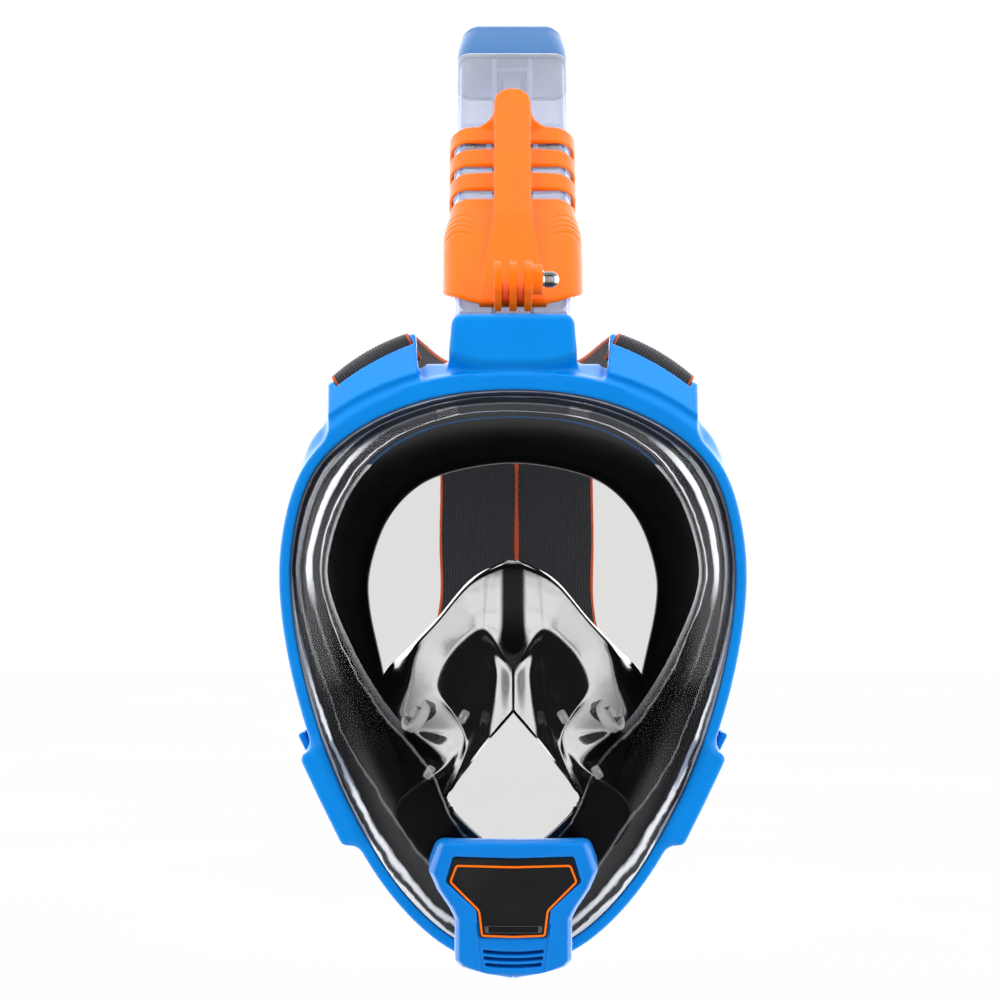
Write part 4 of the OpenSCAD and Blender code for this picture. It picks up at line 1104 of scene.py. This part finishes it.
def buckle_piece(side, word):
    step = 0.4
    x, y, z = axes(step, (-12, 2), (-40, 6), (-16, 30))

    def box(low_corner, high_corner, r):
        return box_field(x, y, z, low_corner, high_corner, r)

    high, low = BAR_SHIFT + STRAP_W / 2 + 0.7, BAR_SHIFT - STRAP_W / 2 - 0.7
    front, back, bar_back = BUCKLE_FRONT, BUCKLE_FRONT + 4, BUCKLE_BAR_Y + 1.8
    f = box((TONGUE_X, WING_BACK_Y - 20.6, -TONGUE_HALF), (TONGUE_X + TONGUE_T, back, TONGUE_HALF), 0.8)
    f = cut(f, box((-9, WING_BACK_Y - 15, -7), (2, WING_BACK_Y - 4, 7), 0.8), 0.4)
    shroud = box((-4.3, WING_BACK_Y + 0.3, low - 2), (-1.2, back, high + 2.4), 1.1)
    plate = box((-10, front, low - 2), (-1.2, back, high + 2.4), 1.3)
    window = box((-8.2, -20, WING_HALF + 0.6), (-4.4, 0, high), 0.6)
    f = joined(f, joined(shroud, cut(plate, window, 0.5), 0.8), 0.8)
    for z0, z1 in ((low - 2, low), (high, high + 2.4)):
        f = joined(f, box((-10, back - 0.5, z0), (-1.2, bar_back, z1), 0.8), 0.6)
    f = np.minimum(f, box((-7.4, BUCKLE_BAR_Y - 1.8, low - 1), (-3.6, bar_back, high + 1), 1.2))
    for groove_y in front - 3 + 1.5 * np.arange(4):
        groove = box((-2.0, groove_y, BAR_SHIFT - 4), (2, groove_y + 0.6, BAR_SHIFT + 4), 0.1)
        f = cut(f, groove, 0.15)
    points, quads = mesh_field(f, (x.flat[0], y.flat[0], z.flat[0]), step)
    points = flipped(from_side(points, WING_AT, WING_TILT), side)
    if side < 0:
        quads = [q[::-1] for q in quads]
    piece(f"buckle_{word}_shell", points, quads, f"{word}_buckle", blue, [f"buckle_{word}"], "blue_plastic")


# ---- Small clear pieces ----


def clip_pieces():
    """Four clear clips, each a stepped block with a peg, between the pocket and the lens."""
    loops = [(rounded_rect(w, h, r, 5), back) for w, h, r, back in
             [(3.4, 5.4, 1, 1.3), (3.4, 5.4, 1, 0.3), (2.4, 4.2, 0.9, 0.1), (2.2, 3.8, 0.9, -0.9),
              (1.3, 1.9, 0.6, -1.3)]]
    all_points, all_faces = [], []
    for side in (-1, 1):
        c, s = turn(-side * 30)
        for x, y, z in ((19.5, -73.3, -44.6), (33, -64.4, -67)):
            rings = [np.column_stack([side * x + loop[:, 0] * c + loop[:, 1] * s,
                                      np.full(len(loop), y + back),
                                      z - loop[:, 0] * s + loop[:, 1] * c]) for loop, back in loops]
            points, faces = skin(rings, False)
            start = len(points) * len(all_points)
            all_points.append(points)
            all_faces += [tuple(i + start for i in f) for f in faces]
    piece("pocket_clips_clear", np.vstack(all_points), all_faces, "mask", clip_clear, ["pocket_clips"],
          "clear_plastic", 35)


def dress_cad_nodes():
    """Materials and rounded edges for the CAD pieces that stay as they are."""
    looks = [(black_plastic, "skirt_retainer drain_seat"),
             (frosted, "inhale_seat_left inhale_seat_right inhale_flap_left inhale_flap_right"),
             (clear_silicone, "drain_flap"), (divider_clear, "tube_divider"), (float_foam, "float"),
             (silicone, "socket_gasket exhaust_flap_left exhaust_flap_right float_pad"),
             (smoke, "exhaust_seat inlet_seat")]
    for material, names in looks:
        for name in names.split():
            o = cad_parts[name]
            o.data.materials.clear()
            o.data.materials.append(material)
            if name != "skirt_retainer":
                add_bevel(o, 0.2)


# ---- Studio ----


def studio():
    scene = bpy.context.scene
    scene.view_settings.view_transform = "Standard"
    camera = bpy.data.cameras.new("camera")
    camera.lens, camera.sensor_width = 121.5, 36
    eye = bpy.data.objects.new("camera", camera)
    eye.location = (-0.0052, -1.390, 0.040)
    eye.rotation_euler = (math.radians(90), 0, 0)
    scene.collection.objects.link(eye)
    scene.camera = eye

    # A white tent: bright walls and back, dark behind the camera, and dimmer overhead and low down.
    scene.world = bpy.data.worlds.new("tent")
    s = Nodes(scene.world)
    x, y, z = s.add("SeparateXYZ", i0=s.add("TexCoord").outputs["Generated"]).outputs
    front = s.span(y, -0.52, -0.3, 0.0, 1.0, "SMOOTHSTEP")
    gap = s.span(s.math("ABSOLUTE", x), 0.02, 0.07, 0.8, 1.0, "SMOOTHSTEP")
    below = s.span(z, -0.9, -0.4, 0.55, 1.0, "SMOOTHSTEP")
    walls = s.math("MULTIPLY", s.math("MULTIPLY", front, gap), below)
    mirror = s.add("Background", i0=(0.97, 0.98, 1.0), i1=s.span(walls, 0.0, 1.0, 0.03, 4.2))
    soft = s.add("Background", i0=(1.0, 1.0, 1.0), i1=0.5)
    white = s.add("Background", i0=(1.0, 1.0, 1.0), i1=1.0)
    ray = s.add("LightPath").outputs
    lit = s.blend(ray["Is Glossy Ray"], soft, mirror)
    s.add("OutputWorld", i0=s.blend(ray["Is Camera Ray"], lit, white))

    side_light = (0.7, 1.2)
    for name, place, size, power in [
            ("left", (-1.1, -0.9, 0.35), side_light, 10), ("right", (1.1, -0.9, 0.35), side_light, 10),
            ("top", (0, -0.5, 1.3), (1.2, 0.8), 8.5), ("low", (0, -0.8, -1.0), (1.4, 0.6), 5)]:
        light = bpy.data.lights.new(name, "AREA")
        light.shape = "RECTANGLE"
        light.size, light.size_y = size
        light.energy = power
        lamp = bpy.data.objects.new("light_" + name, light)
        lamp.location = place
        lamp.rotation_mode = "QUATERNION"
        lamp.rotation_quaternion = (-Vector(place)).to_track_quat("-Z", "Y")
        lamp.visible_glossy = False
        scene.collection.objects.link(lamp)


FLOOR_R, FLOOR_DROP = 3000, 30


def floor_piece():
    """A pale round floor under the mask."""
    s = Shader("floor_pale")
    colour = s.mix_colour(s.spread(s.noise(3, 2), 0, 1), (1.0, 1.0, 1.0), (0.985, 0.985, 0.99))
    material = s.surface(s.add("Emission", Color=colour, Strength=1.0))
    a = np.radians(np.arange(0, 360, 5))
    low = cad_box[0].z / MM - FLOOR_DROP
    points = np.column_stack([FLOOR_R * np.cos(a), FLOOR_R * np.sin(a), np.full(len(a), low)])
    o = piece("floor", points, [tuple(range(len(a)))], None, material)
    o.visible_diffuse = o.visible_glossy = o.visible_shadow = False


studio()
floor_piece()
frame_piece()
lens_piece()
skirt_piece()
pocket_piece()
chin_piece()
chin_details()
tube_piece()
cap_piece()
holder_piece()
nut_piece()
clip_pieces()
stitch_pieces()
for number, word in ((1, "left"), (-1, "right")):
    buckle_piece(number, word)
    strap_pieces(number, word)
dress_cad_nodes()
